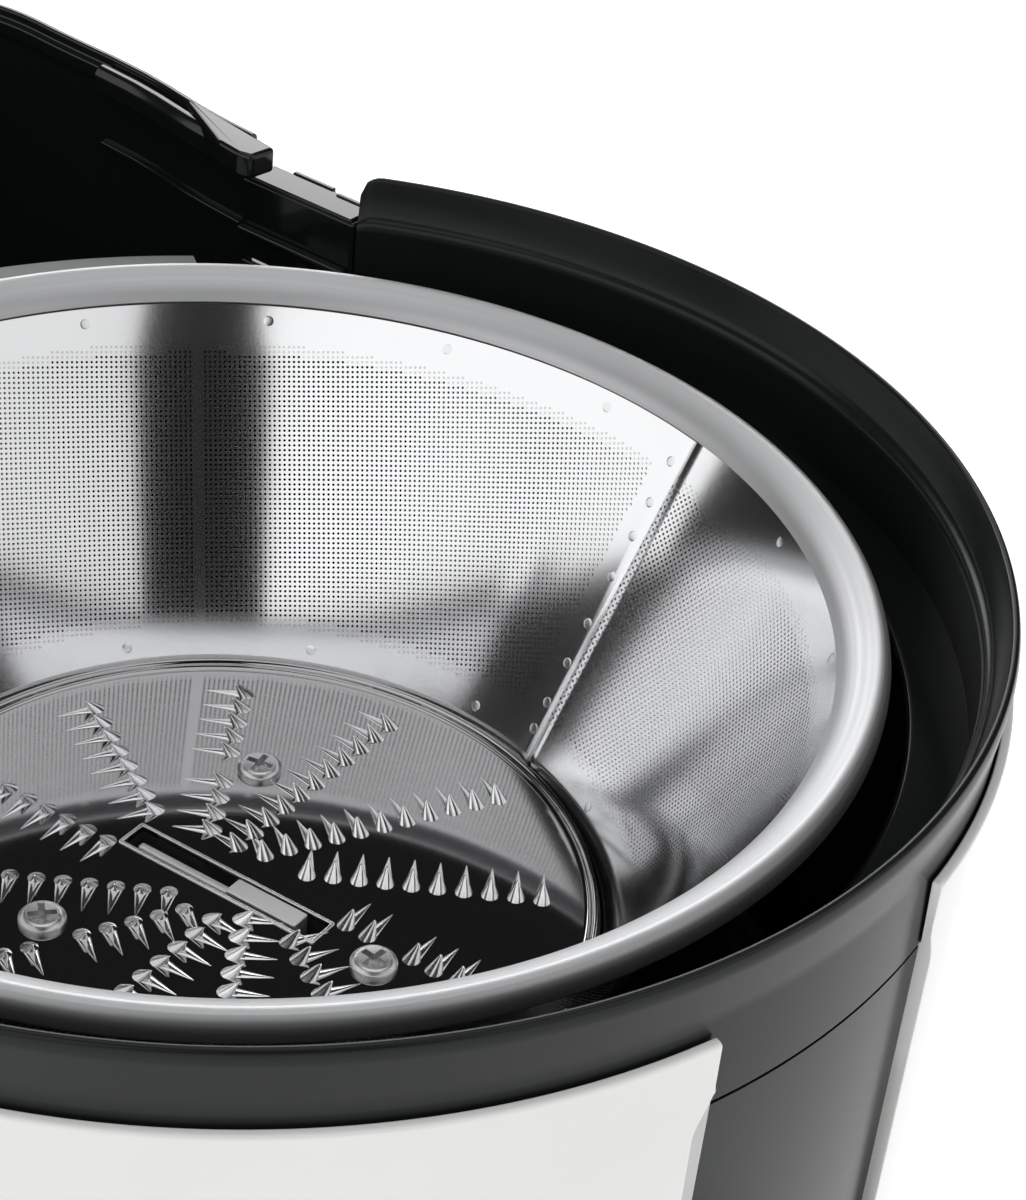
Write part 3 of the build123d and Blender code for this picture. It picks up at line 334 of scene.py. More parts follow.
weld_radius = 0.8 * mm
seam_weld_heights = (187, 181, 176, 170, 163, 157, 151, 147)
seam_weld_angle = lap_angle + degrees(2.0 / 70.0)
upper_weld_height = disc_z + 47.0 * mm
lower_weld_height = disc_z + 3.1 * mm
weld_places = [(seam_weld_angle, height * mm) for height in seam_weld_heights]
weld_places += [(3.3 + 20.6 * index, upper_weld_height) for index in range(17)]
weld_places += [(4.4 + 30.0 * index, lower_weld_height) for index in range(12)]
welds = bmesh.new()
for angle, height in weld_places:
    radius = foot_radius + (height - disc_z) * sheet_widening / sheet_depth
    radius -= lap_step * lapped_in(angle - lap_angle)
    turn = Matrix.Rotation(radians(angle), 4, "Z")
    lean = Matrix.Rotation(-atan2(cone_cosine, cone_sine), 4, "Y")
    flat = Matrix.Diagonal((1, 1, 0.05, 1))
    where = Matrix.Translation(place(radius, angle, height)) @ turn @ lean @ flat
    bmesh.ops.create_uvsphere(welds, u_segments=14, v_segments=8, radius=weld_radius, matrix=where)
weld_steel = steel("weld_steel", (0.84, 0.845, 0.855), 0.2, 0.05, "random")
weld_buttons = finished("sieve_welds", welds, weld_steel)
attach(weld_buttons, "basket")

# ======== Rolled rim of the sieve ========
# Drawn stainless ring with a shallow groove and a rolled outer bead, satin finish, welded to the
# outside of the sheet.

crest = rim_high.z / mm
rim_outline = fillet([
    (77.5, crest - 3.9, 0.15),
    (78.6, crest - 2.3, 0.9),
    (79.9, crest - 1.3, 0.9),
    (81.2, crest - 0.6, 0.8),
    (82.6, crest, 0.9),
    (83.9, crest - 0.7, 0.9),
    (84.4, crest - 2.2, 0.7),
    (84.3, crest - 3.5, 0.3),
    (83.7, crest - 4.1, 0.2),
    (83.3, crest - 3.3, 0.3),
    (83.2, crest - 2.1, 0.5),
    (82.4, crest - 0.7, 0.5),
    (81.2, crest - 1.3, 0.4),
    (80.4, crest - 2.3, 0.4),
    (80.1, crest - 4.8, 0.4),
    (78.3, crest - 8.8, 0.1),
    (77.4, crest - 8.7, 0.1),
    (79.3, crest - 5.0, 0.2),
    (78.9, crest - 4.4, 0.2),
])
rolled_rim = finished(
    "sieve_rolled_rim",
    turned(rim_outline, steps=288),
    steel("rim_satin_steel", (0.66, 0.665, 0.675), 0.52, 0.02),
)
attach(rolled_rim, "basket")
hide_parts("sieve_rim")

# ======== Grater disc ========
# Mirror-polished stainless disc with a rolled edge, a slot for the drive and rows of teeth that
# are punched up from below: each leans over like a half cone, with a long dent before it.

plate = disc_z / mm
plate_top = plate + 0.8
disc_outline = fillet([
    (0.0, plate),
    (51.5, plate, 0.4),
    (52.0, plate + 0.5, 0.4),
    (52.0, plate + 1.6, 0.4),
    (51.5, plate + 2.1, 0.4),
    (51.0, plate + 1.6, 0.3),
    (50.8, plate + 1.0, 0.3),
    (50.2, plate_top, 0.2),
    (0.0, plate_top),
])
disc_steel = steel("disc_mirror_steel", (0.42, 0.42, 0.425), 0.05, 0.012)
slot_angle = radians(-80)
slot_turn = Matrix.Translation((0, axis_y, plate_top * mm)) @ Matrix.Rotation(slot_angle, 4, "Z")
slot_size = (33.0, 4.4, 6.0)
small_slot_size = (5.4, 3.0, 6.0)
small_slot_place = -116.5
small_slot_turn = radians(-50)
row_start_angle = 10.0
row_teeth = (11, 10, 8, 9, 11, 11, 11, 11, 9, 9, 10, 11)
row_offset = 3.3
tooth_pitch = 3.67
outer_reach = 44.0
tooth_radius = 1.25
tooth_height = 1.75
tooth_lean = 1.5
tooth_tip = 0.22
dent_length = 5.9
dent_width = 1.1
screw_clearance = 4.9
slot_clearance = (17.6, 3.5)
screw_angles = (37.3, 157.2, 278.2)
screw_circle = 26.0


def cut_out(piece, cutter_form):
    """Cuts a form out of a piece for good."""
    cutter = finished("cutter", cutter_form, piece.data.materials[0])
    piece.modifiers.clear()
    cutter.modifiers.clear()
    cut = piece.modifiers.new("cut", "BOOLEAN")
    cut.operation = "DIFFERENCE"
    cut.solver = "EXACT"
    cut.object = cutter
    bpy.context.view_layer.update()
    done = piece.evaluated_get(bpy.context.evaluated_depsgraph_get())
    shaped = bmesh.new()
    shaped.from_mesh(bpy.data.meshes.new_from_object(done))
    bmesh.ops.dissolve_degenerate(shaped, edges=shaped.edges, dist=1e-7)
    for edge in shaped.edges:
        edge.smooth = edge.calc_face_angle(0.0) < radians(25)
    piece.modifiers.clear()
    shaped.to_mesh(piece.data)
    shaped.free()
    shading = piece.modifiers.new("shading", "WEIGHTED_NORMAL")
    shading.keep_sharp = True
    bpy.data.objects.remove(cutter)


def rounded_edges(form, edges, radius, segments, clamp=False):
    """Rounds edges of a form; the radius is in millimetres."""
    bmesh.ops.bevel(
        form,
        geom=list(edges),
        offset=radius * mm,
        segments=segments,
        profile=0.5,
        affect="EDGES",
        material=-1,
        clamp_overlap=clamp,
    )


def block(form, size, where, bevel=0.0):
    """Adds a box of a size in millimetres at a matrix, with rounded edges."""
    stretched = Matrix.Diagonal((*(part * mm for part in size), 1))
    made = bmesh.ops.create_cube(form, size=1.0, matrix=where @ stretched)
    if bevel:
        edges = {edge for vert in made["verts"] for edge in vert.link_edges}
        rounded_edges(form, edges, bevel, 3)


grating = finished("grater_plate", turned(disc_outline, steps=240), disc_steel)
slot_form = bmesh.new()
block(slot_form, slot_size, slot_turn)
small_slot_at = Matrix.Translation(place(screw_circle * mm, small_slot_place, plate_top * mm))
block(slot_form, small_slot_size, small_slot_at @ Matrix.Rotation(small_slot_turn, 4, "Z"))
cut_out(grating, slot_form)
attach(grating, "basket")
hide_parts("grater_disc")

edge_form = bmesh.new()
for size, offset in (((34.0, 0.55, 0.5), (0, 2.4 * mm, 0)), ((0.55, 5.0, 0.5), (16.8 * mm, 0, 0))):
    for side in (-1, 1):
        block(edge_form, size, slot_turn @ Matrix.Translation(side * Vector(offset)), 0.18)
edge_steel = steel("slot_edge_steel", (0.9, 0.9, 0.9), 0.22, 0.03, "random")
slot_edge = finished("grater_slot_edge", edge_form, edge_steel)
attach(slot_edge, "basket")

teeth = bmesh.new()
for row, count in enumerate(row_teeth):
    turn = radians(row * 360 / len(row_teeth) + row_start_angle)
    for step in range(count):
        along = outer_reach - step * tooth_pitch
        x = along * cos(turn) - row_offset * sin(turn)
        y = along * sin(turn) + row_offset * cos(turn)
        near_screw = any(
            hypot(
                x - screw_circle * cos(radians(angle)),
                y - screw_circle * sin(radians(angle)),
            ) < screw_clearance
            for angle in screw_angles
        )
        along_slot = abs(x * cos(slot_angle) + y * sin(slot_angle))
        beside_slot = abs(y * cos(slot_angle) - x * sin(slot_angle))
        if near_screw or (along_slot < slot_clearance[0] and beside_slot < slot_clearance[1]):
            continue
        foot = Matrix.Translation((x * mm, axis_y + y * mm, plate_top * mm))
        base = foot @ Matrix.Rotation(turn, 4, "Z")
        lean = Matrix.Identity(4)
        lean[1][2] = tooth_lean / tooth_height
        bmesh.ops.create_cone(
            teeth,
            segments=14,
            radius1=tooth_radius * mm,
            radius2=tooth_tip * mm,
            depth=tooth_height * mm,
            cap_ends=True,
            matrix=base @ lean @ Matrix.Translation((0, 0, tooth_height / 2 * mm)),
        )
        flat = Matrix.Diagonal((1, 1, 0.3, 1)) @ Matrix.Rotation(radians(-90), 4, "X")
        bmesh.ops.create_cone(
            teeth,
            segments=12,
            radius1=dent_width * mm,
            radius2=0.05 * mm,
            depth=dent_length * mm,
            cap_ends=True,
            matrix=base @ Matrix.Translation((0, dent_length / 2 * mm, 0)) @ flat,
        )
tooth_steel = steel("tooth_steel", (0.86, 0.865, 0.875), 0.16, 0.05, "random")
tooth_set = finished("grater_teeth", teeth, tooth_steel, ridge=50)
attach(tooth_set, "basket")

# ======== Screws of the disc ========
# Three stainless pan-head screws with cross recesses hold the disc down on the hub.

head_outline = fillet([
    (0.0, plate_top + 1.4),
    (2.6, plate_top + 1.35, 0.3),
    (3.3, plate_top + 0.7, 0.3),
    (3.3, plate_top),
    (0.0, plate_top),
])
cross_arm = (4.0, 0.95, 2.0)
screw_steel = steel("screw_bright_steel", (0.7, 0.7, 0.71), 0.3, 0.05, "random")
for index, angle in enumerate(screw_angles):
    head = turned(head_outline, steps=48)
    away = place(screw_circle * mm, angle, 0) - Vector((0, axis_y, 0))
    bmesh.ops.translate(head, verts=head.verts, vec=away)
    screw = finished(f"disc_screw_{index + 1}", head, screw_steel)
    middle = Matrix.Translation(place(screw_circle * mm, angle, (plate_top + 1.2) * mm))
    for quarter in (0, 90):
        arm = bmesh.new()
        arm_turn = Matrix.Rotation(radians(20 + 37 * index + quarter), 4, "Z")
        block(arm, cross_arm, middle @ arm_turn)
        cut_out(screw, arm)
    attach(screw, "basket")
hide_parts("disc_screws")

# ======== Drive coupling ========
# Steel spigot and flat tang that reach up through the slot; the tang's raised end catches the
# disc, and a thin spring bar lies beside it.

coupling_low, coupling_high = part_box("drive_coupling")
tang_top = coupling_high.z / mm
boss_outline = fillet([
    (0.0, coupling_low.z / mm),
    (16.4, coupling_low.z / mm, 0.5),
    (16.8, coupling_low.z / mm + 5.5, 0.8),
    (6.0, coupling_low.z / mm + 6.5, 0.6),
    (5.95, tang_top - 7.0, 0.4),
    (0.0, tang_top - 7.0),
])
coupling_form = turned(boss_outline, steps=96)
tang_turn = Matrix.Translation((0, axis_y, 0)) @ Matrix.Rotation(slot_angle, 4, "Z")
for size, along, drop, bevel in (((12.0, 3.2, 5.6), 7.2, 2.9, 0.3), ((17.0, 1.5, 5.0), -6.8, 4.0, 0.5)):
    at = Matrix.Translation((along * mm, 0, (tang_top - drop) * mm))
    block(coupling_form, size, tang_turn @ at, bevel)
tang_steel = steel("tang_steel", (0.92, 0.92, 0.92), 0.5, 0.06, "random")
coupling = finished("drive_tang", coupling_form, tang_steel)
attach(coupling, "rotor")
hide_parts("drive_coupling")

# ======== Juice bowl ========
# Glossy black moulding: the trough round the basket, the flat ledge, and the satin ring that
# shows outside, whose rim is a narrow ridge above a rounded shelf. Behind, a weir coloured grey:
# a painted reflection of the bright studio on glossy black.


def plastic(name, colour, roughness, grain, grain_scale=900.0, coat=0.0, reflection=0.42):
    """Moulded plastic with slight clouds of colour and a fine surface grain."""
    material = bpy.data.materials.new(name)
    material.use_nodes = True
    tree = material.node_tree
    shader = tree.nodes["Principled BSDF"]
    shader.inputs["Specular IOR Level"].default_value = reflection
    shader.inputs["Coat Weight"].default_value = coat
    shader.inputs["Coat Roughness"].default_value = 0.04
    coords = tree.nodes.new("ShaderNodeTexCoord")
    clouds = tree.nodes.new("ShaderNodeTexNoise")
    clouds.inputs["Scale"].default_value = 40.0
    clouds.inputs["Detail"].default_value = 4.0
    tree.links.new(coords.outputs["Object"], clouds.inputs["Vector"])
    tint = tree.nodes.new("ShaderNodeMix")
    tint.data_type = "RGBA"
    tint.inputs["A"].default_value = (*(0.9 * part for part in colour), 1)
    tint.inputs["B"].default_value = (*colour, 1)
    tree.links.new(clouds.outputs["Fac"], tint.inputs["Factor"])
    tree.links.new(tint.outputs["Result"], shader.inputs["Base Color"])
    fine = tree.nodes.new("ShaderNodeTexNoise")
    fine.inputs["Scale"].default_value = grain_scale
    fine.inputs["Detail"].default_value = 3.0
    tree.links.new(coords.outputs["Object"], fine.inputs["Vector"])
    spread = tree.nodes.new("ShaderNodeMapRange")
    spread.inputs["To Min"].default_value = 0.85 * roughness
    spread.inputs["To Max"].default_value = 1.15 * roughness
    tree.links.new(fine.outputs["Fac"], spread.inputs["Value"])
    tree.links.new(spread.outputs["Result"], shader.inputs["Roughness"])
    relief = tree.nodes.new("ShaderNodeBump")
    relief.inputs["Strength"].default_value = grain
    relief.inputs["Distance"].default_value = 0.1 * mm
    tree.links.new(fine.outputs["Fac"], relief.inputs["Height"])
    tree.links.new(relief.outputs["Normal"], shader.inputs["Normal"])
    return material


rim_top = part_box("juice_bowl")[1].z / mm
seam = rim_top - 20.8
ledge = seam + 2.1
trough = rim_top - 89.0
gloss_black = plastic("bowl_gloss_black", (0.006, 0.007, 0.007), 0.13, 0.01)
satin_anthracite = plastic(
    "ring_satin_anthracite", (0.0085, 0.0105, 0.0098), 0.25, 0.02, reflection=0.24
)
trough_outline = fillet([
    (97.8, seam, 0.1),
    (97.8, ledge - 0.4, 0.2),
    (96.0, ledge, 0.2),
    (87.5, ledge, 0.9),
    (86.0, trough, 3.0),
    (25.5, trough + 1.5, 2.0),
    (24.0, trough + 15.0, 0.6),
    (21.5, trough + 15.0, 0.6),
    (21.5, trough - 0.6, 0.3),
    (87.0, trough - 2.1, 3.0),
    (89.6, seam, 0.6),
])
bowl_trough = finished("bowl_trough", turned(trough_outline, steps=240), gloss_black)
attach(bowl_trough, "root")
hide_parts("juice_bowl")

ring_outline = fillet([
    (98.3, seam, 0.2),
    (98.2, rim_top - 8.0, 0.8),
    (98.9, rim_top - 1.4, 0.8),
    (98.5, rim_top, 0.5),
    (97.6, rim_top, 0.5),
    (97.0, rim_top - 3.4, 1.4),
    (96.3, rim_top - 5.9, 1.0),
    (95.3, rim_top - 6.7, 0.5),
    (95.1, rim_top - 7.8, 0.4),
    (95.6, seam, 0.2),
])
ring_end = 37.0
end_drop = 3.2
end_round = 2.0
shoulder = 9.0
ring_form = turned(ring_outline, 180 - ring_end, 180 + 2 * ring_end, 508)
for vert in ring_form.verts:
    angle = degrees(atan2(abs(vert.co.x), vert.co.y - axis_y))
    near = max(0.0, 1.0 - (angle - (90 - ring_end)) / end_round)
    over = max(0.0, vert.co.z / mm - (rim_top - shoulder)) / shoulder
    vert.co.z -= end_drop * mm * over * (1 - sqrt(max(0.0, 1 - near * near)))
bowl_ring = finished("bowl_ring", ring_form, satin_anthracite)
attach(bowl_ring, "root")

weir_outline = fillet([
    (87.9, seam + 0.1, 0.1),
    (87.9, ledge + 6.0, 0.5),
    (101.5, ledge + 1.0, 0.5),
    (101.5, seam + 0.1, 0.1),
])
# Plain grey base colour: painted reflection of the white studio on the weir's glossy black top, not its
# own colour.
weir_painted_reflection_grey = plastic("weir_painted_reflection_grey", (0.4, 0.41, 0.41), 0.24, 0.02)
weir = finished("bowl_weir", turned(weir_outline, 52, 76, 76), weir_painted_reflection_grey)
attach(weir, "root")

wing_low = 36.9
wing_high = 57.5
wing_middle = (wing_low + wing_high) / 2
wing_length = wing_high - wing_low
wing_splay = 5.8
wing_blocks = (
    (75.4, 0.0, 6.8, (2.4, wing_length + 2.5, 13.6), 0.4),
    (77.6, 0.0, 13.5, (6.0, wing_length + 0.6, 1.2), 0.35),
    (80.6, -6.6, 13.9, (0.9, 7.0, 0.9), 0.2),
    (80.6, 2.6, 13.9, (0.9, 8.4, 0.9), 0.2),
    (73.5, 0.0, 5.2, (1.5, wing_length + 1.5, 1.2), 0.45),
)
wings = bmesh.new()
for side in (-1, 1):
    tilt = Matrix.Rotation(side * radians(wing_splay), 4, "Z")
    for out, along, rise, size, bevel in wing_blocks:
        at = Matrix.Translation((side * out * mm, (wing_middle + along) * mm, (seam + rise) * mm))
        block(wings, size, at @ tilt, bevel)
passage_wings = finished("bowl_wings", wings, gloss_black)
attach(passage_wings, "root")

# ======== Side panels ========
# Glossy white shells, 1.5 mm proud of the front panel, with rounded edges; their upper front
# corners reach forwards over the ring in a soft step.

panel_low, panel_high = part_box("right_side_panel")
panel_top = panel_high.z / mm
panel_foot = panel_low.z / mm
gloss_white = plastic("panel_gloss_white", (0.8, 0.8, 0.79), 0.16, 0.008, coat=0.6)
front_half_angle = 12.5
end_angle = 36.0
corner_step = 1.2
corner_width = 6.0
step_height = 7.0
panel_outline = fillet([
    (96.8, panel_foot, 0.2),
    (99.2, panel_foot, 0.8),
    (99.8, panel_foot + 2.0, 0.8),
    (99.8, panel_foot + 60.0),
    (99.8, panel_foot + 120.0),
    *((99.8, panel_top - 16.0 + step) for step in range(0, 15)),
    (99.8, panel_top, 0.9),
    (98.5, panel_top, 0.3),
    (98.5, seam + 0.3, 0.1),
    (96.8, seam - 0.4, 0.1),
])
for side, node in ((1, "right_side_panel"), (-1, "left_side_panel")):
    shell = turned(panel_outline, -90 + front_half_angle, 90 - front_half_angle + end_angle, 116)
    for vert in shell.verts:
        angle = degrees(atan2(vert.co.y - axis_y, vert.co.x))
        share = min(1.0, max(0.0, (vert.co.z / mm - seam + 3.0) / step_height))
        step = corner_step * share * share * (3 - 2 * share)
        near = max(0.0, 1.0 - (angle + 90 - front_half_angle) / corner_width)
        radius = hypot(vert.co.x, vert.co.y - axis_y)
        vert.co = place(radius, angle - step * near, vert.co.z)
    rims = [edge for edge in shell.edges if edge.calc_face_angle(0.0) > radians(60)]
    ends = [
        edge
        for edge in rims
        if any(face.calc_area() > 1e-4 and len(face.verts) > 8 for face in edge.link_faces)
    ]
    rounded_edges(shell, ends, 0.4, 3, clamp=True)
    if side < 0:
        bmesh.ops.scale(shell, vec=(-1, 1, 1), verts=shell.verts)
    panel = finished(f"white_{node}", shell, gloss_white)
    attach(panel, "root")
    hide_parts(node)

# ======== Pulp container ========
# Glossy black tub that slides in behind: straight waist, swelling sides, a broad rim with a
# raised outer lip, a rib inside, and two tabs that reach forwards over the wings.

tub_low, tub_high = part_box("pulp_container")
tub_foot = tub_low.z / mm
tub_top = tub_high.z / mm
shift = axis_y / mm
waist = Vector((75.63, 96.26 + shift))
back_y = tub_high.y / mm
tub_black = plastic("tub_gloss_black", (0.007, 0.008, 0.008), 0.12, 0.01)
passage_y = 80.4 + shift
corner_power = 0.72


def swept(name, path_points, outline_points):
    """Form made by sweeping a closed outline (outwards, height) along a level path."""
    across_curve = bpy.data.curves.new(name + "_outline", "CURVE")
    across_curve.dimensions = "2D"
    line = across_curve.splines.new("POLY")
    line.points.add(len(outline_points) - 1)
    for spot, point in zip(line.points, outline_points):
        spot.co = (point.x * mm, point.y * mm, 0, 1)
    line.use_cyclic_u = True
    outline_object = bpy.data.objects.new(name + "_outline", across_curve)
    path_curve = bpy.data.curves.new(name + "_path", "CURVE")
    path_curve.dimensions = "3D"
    path_curve.twist_mode = "Z_UP"
    path_curve.bevel_mode = "OBJECT"
    path_curve.bevel_object = outline_object
    path_curve.use_fill_caps = True
    route = path_curve.splines.new("POLY")
    route.points.add(len(path_points) - 1)
    for spot, point in zip(route.points, path_points):
        spot.co = (point.x * mm, point.y * mm, 0, 1)
    path_object = bpy.data.objects.new(name + "_path", path_curve)
    bpy.context.scene.collection.objects.link(outline_object)
    bpy.context.scene.collection.objects.link(path_object)
    bpy.context.view_layer.update()
    swept_path = path_object.evaluated_get(bpy.context.evaluated_depsgraph_get())
    form = bmesh.new()
    form.from_mesh(bpy.data.meshes.new_from_object(swept_path))
    bpy.data.objects.remove(path_object)
    bpy.data.objects.remove(outline_object)
    return form


def tub_side():
    """Right half of the tub's plan, from the passage to the middle of the back."""
    swell = (
        (0.0, -16.0),
        (0.0, -8.0),
        (0.2, -3.0),
        (0.6, 1.0),
        (1.1, 6.0),
        (1.4, 12.0),
        (1.3, 20.0),
        (0.9, 27.0),
    )
    points = [Vector((waist.x + out, waist.y + back)) for out, back in swell]
    side_x, side_y = waist.x + 0.6, waist.y + 34.0
    for step in range(61):
        turn = radians(90 * step / 60)
        out = side_x * cos(turn) ** corner_power
        back = side_y + (back_y - side_y) * sin(turn) ** corner_power
        points.append(Vector((out, back)))
    return points


half_plan = tub_side()
plan = half_plan + [Vector((-point.x, point.y)) for point in reversed(half_plan[:-1])]
wall_outline = fillet([
    (0.0, tub_foot, 1.2),
    (0.0, tub_top - 0.5, 0.5),
    (-0.6, tub_top, 0.4),
    (-1.5, tub_top, 0.4),
    (-1.8, tub_top - 1.6, 0.3),
    (-2.8, tub_top - 1.9, 0.4),
    (-2.8, tub_top - 4.0, 0.4),
    (-2.4, tub_top - 5.0, 0.4),
    (-2.4, tub_foot + 2.4, 2.0),
    (-8.0, tub_foot + 2.4),
    (-8.0, tub_foot),
])
tub_wall = finished("tub_wall", swept("tub_wall", plan, wall_outline), tub_black)
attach(tub_wall, "container")
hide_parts("pulp_container")

front_radius = 97.6
front_turn = atan2(sqrt(front_radius**2 - waist.x**2), waist.x)
front_arc = []
for step in range(41):
    turn = front_turn + step / 40 * (radians(180) - 2 * front_turn)
    front_arc.append(Vector((front_radius * cos(turn), shift + front_radius * sin(turn))))
front_path = [Vector((waist.x, passage_y)), *front_arc, Vector((-waist.x, passage_y))]
front_outline = fillet([
    (0.0, tub_foot, 0.8),
    (0.0, seam - 0.9, 0.5),
    (-2.4, seam - 0.9, 0.5),
    (-2.4, tub_foot, 0.8),
])
tub_front = finished("tub_front", swept("tub_front", front_path[::-1], front_outline), tub_black)
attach(tub_front, "container")

floor_plate = bmesh.new()
outer = [
    floor_plate.verts.new((point.x * mm, point.y * mm, (tub_foot + 0.3) * mm))
    for point in plan + front_arc[::-1]
]
sole = floor_plate.faces.new(outer)
bmesh.ops.inset_region(floor_plate, faces=[sole], thickness=0.6 * mm)
raised = bmesh.ops.extrude_face_region(floor_plate, geom=floor_plate.faces[:])
lifted = [item for item in raised["geom"] if isinstance(item, bmesh.types.BMVert)]
bmesh.ops.translate(floor_plate, verts=lifted, vec=(0, 0, 2.1 * mm))
tub_floor = finished("tub_floor", floor_plate, tub_black)
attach(tub_floor, "container")

tab_plan = (
    (waist.x + 0.1, waist.y + 0.6),
    (waist.x - 1.5, waist.y - 22.0),
    (waist.x - 6.6, waist.y - 22.0),
    (waist.x - 7.5, waist.y - 19.6),
    (waist.x - 7.2, waist.y - 14.6),
    (waist.x - 1.2, waist.y - 0.2),
)
rib_start = waist.y + 24.4
strip_start = waist.y + 23.6
tab_thickness = 4.2
rail_outline = fillet([(0.0, -0.6, 0.2), (0.0, 0.6, 0.2), (-1.1, 0.45, 0.35), (-1.1, -0.45, 0.35)])
strip_outline = fillet([
    (0.0, -3.4, 0.2),
    (0.0, 0.9, 0.2),
    (-1.3, 0.9, 0.5),
    (-2.3, -0.3, 0.7),
    (-2.3, -3.4, 0.5),
])
details = bmesh.new()
for side in (-1, 1):
    underside = (tub_top - tab_thickness) * mm
    corners = [details.verts.new((side * x * mm, y * mm, underside)) for x, y in tab_plan]
    tab_face = details.faces.new(corners)
    grown = bmesh.ops.extrude_face_region(details, geom=[tab_face])
    tops = [item for item in grown["geom"] if isinstance(item, bmesh.types.BMVert)]
    bmesh.ops.translate(details, verts=tops, vec=(0, 0, tab_thickness * mm))
    around = {edge for vert in corners + tops for edge in vert.link_edges}
    rounded_edges(details, around, 0.8, 4)
tub_tabs = finished("tub_tabs", details, tub_black)
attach(tub_tabs, "container")

inner_side = [point for point in half_plan if point.y < rib_start]
for name, outline, depth, height, last in (
    ("tub_rib", rail_outline, 2.3, tub_top - 15.2, rib_start),
    ("tub_strip", strip_outline, 2.5, tub_top - 1.9, strip_start),
):
    for side in (-1, 1):
        track = [Vector((side * (point.x - depth), point.y)) for point in inner_side if point.y < last]
        raised_outline = [Vector((side * point.x, point.y + height)) for point in outline]
        hand = "right" if side > 0 else "left"
        rail = finished(f"{name}_{hand}", swept(name, track, raised_outline), tub_black)
        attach(rail, "container")

# ======== Front panel, spout, knob and housing ========
# Satin anthracite mouldings of the body; the spout is glossy, the seat of the knob and the feet
# are plain. They are shown as the model has them, with moulded grain.


def paint(finish, names):
    """Gives nodes of the model one material."""
    for name in names:
        nodes[name].data.materials.clear()
        nodes[name].data.materials.append(finish)


housing_black = plastic("housing_satin_black", (0.014, 0.015, 0.016), 0.42, 0.12, 1400.0)
spout_black = plastic("spout_gloss_black", (0.008, 0.009, 0.009), 0.16, 0.01)
knob_grey = plastic("knob_satin_grey", (0.05, 0.052, 0.055), 0.3, 0.08, 1100.0)
switch_grey = plastic("switch_grey", (0.11, 0.11, 0.115), 0.5, 0.1, 1600.0)
rubber = plastic("soft_rubber", (0.012, 0.012, 0.012), 0.75, 0.25, 2200.0)
hub_plastic = plastic("hub_dark_plastic", (0.02, 0.021, 0.022), 0.4, 0.1, 1400.0)
for finish, names in (
    (satin_anthracite, ("front_panel", "spout_collar")),
    (housing_black, ("lower_housing", "bowl_shroud", "container_shelf", "base_plate")),
    (spout_black, ("drip_spout",)),
    (knob_grey, ("speed_knob",)),
    (switch_grey, ("rotary_switch", "terminal_block", "suppression_capacitor", "brush_holders")),
    (rubber, ("rubber_feet", "bowl_seal", "shaft_seal", "motor_mounts", "cord_inlet")),
    (hub_plastic, ("basket_hub", "cooling_fan")),
):
    paint(finish, names)

# ======== Motor ========
# Zinc-plated brackets, shaft and screws, laminated iron with visible sheets, varnished copper
# windings, sintered bronze bearings, copper commutator and carbon brushes.

zinc_steel = steel("zinc_plated_steel", (0.55, 0.55, 0.53), 0.35, 0.08, "random")
iron_sheets = steel("laminated_iron", (0.32, 0.33, 0.36), 0.45, 0.4)
copper = steel("varnished_copper", (0.62, 0.27, 0.13), 0.32, 0.5)
bronze = steel("sintered_bronze", (0.5, 0.36, 0.2), 0.5, 0.2, "random")
carbon = plastic("brush_carbon", (0.012, 0.012, 0.013), 0.55, 0.2, 3000.0)
for finish, names in (
    (zinc_steel, ("motor_upper_bracket", "motor_lower_bracket", "motor_shaft", "knob_shaft")),
    (zinc_steel, ("motor_screws", "base_screws")),
    (iron_sheets, ("stator_core", "armature_core")),
    (copper, ("field_coils", "armature_winding", "commutator")),
    (bronze, ("upper_bearing", "lower_bearing")),
    (carbon, ("carbon_brushes",)),
):
    paint(finish, names)

# ======== Stage, light and camera ========
# Pale paper floor under four large soft lights and one that only fills; white behind, and a
# camera close above the front left corner.

floor_form = bmesh.new()
bmesh.ops.create_grid(floor_form, x_segments=1, y_segments=1, size=3.0)
floor_paper = plastic("floor_white", (0.9, 0.9, 0.9), 0.6, 0.0)
floor_shader = floor_paper.node_tree.nodes["Principled BSDF"]
floor_shader.inputs["Emission Color"].default_value = (1, 1, 1, 1)
floor_shader.inputs["Emission Strength"].default_value = 0.55
floor = finished("floor", floor_form, floor_paper)


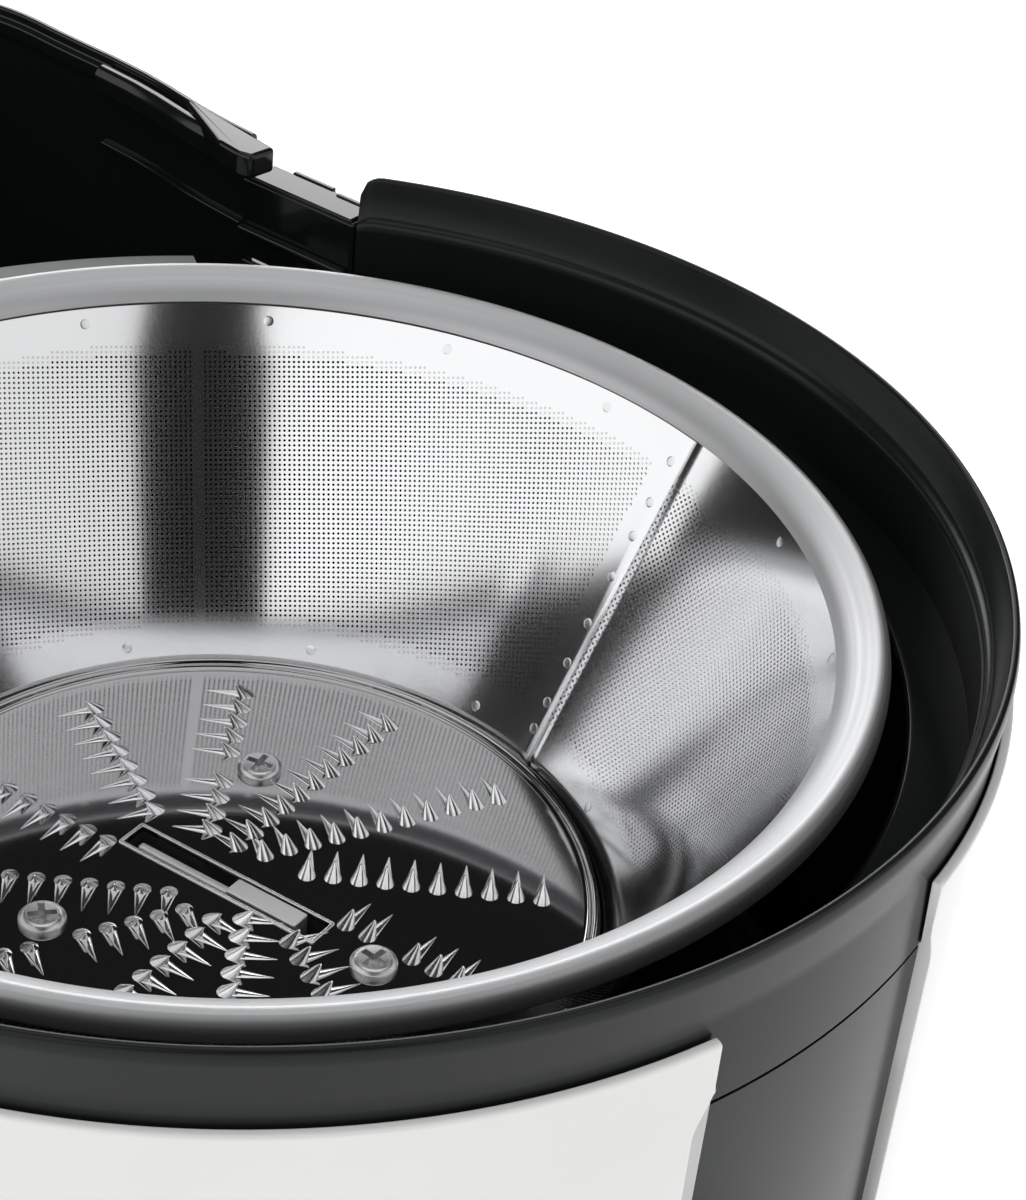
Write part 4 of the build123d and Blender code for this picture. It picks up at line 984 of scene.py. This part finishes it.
def softbox(name, width, height, azimuth, elevation, distance, power, reflected=True):
    """Area light aimed at the sieve from an azimuth and an elevation, in degrees."""
    lamp = bpy.data.lights.new(name, "AREA")
    lamp.shape = "RECTANGLE"
    lamp.size = width
    lamp.size_y = height
    lamp.energy = power
    holder = bpy.data.objects.new(name, lamp)
    target = Vector((0, axis_y, 0.17))
    away = Vector((
        cos(radians(azimuth)) * cos(radians(elevation)),
        sin(radians(azimuth)) * cos(radians(elevation)),
        sin(radians(elevation)),
    ))
    holder.location = target + away * distance
    holder.rotation_mode = "QUATERNION"
    holder.rotation_quaternion = away.to_track_quat("Z", "Y")
    holder.visible_camera = False
    holder.visible_glossy = reflected
    bpy.context.scene.collection.objects.link(holder)


softbox("box_right", 1.25, 0.9, -73, 26, 1.0, 2.9)
softbox("box_left", 2.0, 0.9, -190, 26, 1.0, 6.0)
softbox("box_behind", 1.0, 0.34, 48, 23, 1.0, 4.4)
softbox("box_above", 1.2, 1.2, 40, 84, 1.2, 4.2)
softbox("fill_above", 1.6, 1.6, -123, 60, 1.4, 8.5, reflected=False)

world = bpy.data.worlds.new("studio")
bpy.context.scene.world = world
world.use_nodes = True
sky = world.node_tree.nodes["Background"]
sky.inputs["Color"].default_value = (0.02, 0.02, 0.02, 1)
bright = world.node_tree.nodes.new("ShaderNodeBackground")
bright.inputs["Color"].default_value = (1, 1, 1, 1)
bright.inputs["Strength"].default_value = 1.05
ray = world.node_tree.nodes.new("ShaderNodeLightPath")
choice = world.node_tree.nodes.new("ShaderNodeMixShader")
world.node_tree.links.new(ray.outputs["Is Camera Ray"], choice.inputs[0])
world.node_tree.links.new(sky.outputs[0], choice.inputs[1])
world.node_tree.links.new(bright.outputs[0], choice.inputs[2])
world.node_tree.links.new(choice.outputs[0], world.node_tree.nodes["World Output"].inputs["Surface"])
bpy.context.scene.view_settings.view_transform = "Standard"

camera_data = bpy.data.cameras.new("camera")
camera_data.sensor_width = 36.0
camera_data.lens = 82.65
camera_data.clip_start = 0.01
camera = bpy.data.objects.new("camera", camera_data)
camera.location = (-0.20132, -0.23727, 0.39215)
camera.rotation_euler = (radians(55.848), radians(-5.0707), radians(-46.5688))
bpy.context.scene.collection.objects.link(camera)
bpy.context.scene.camera = camera
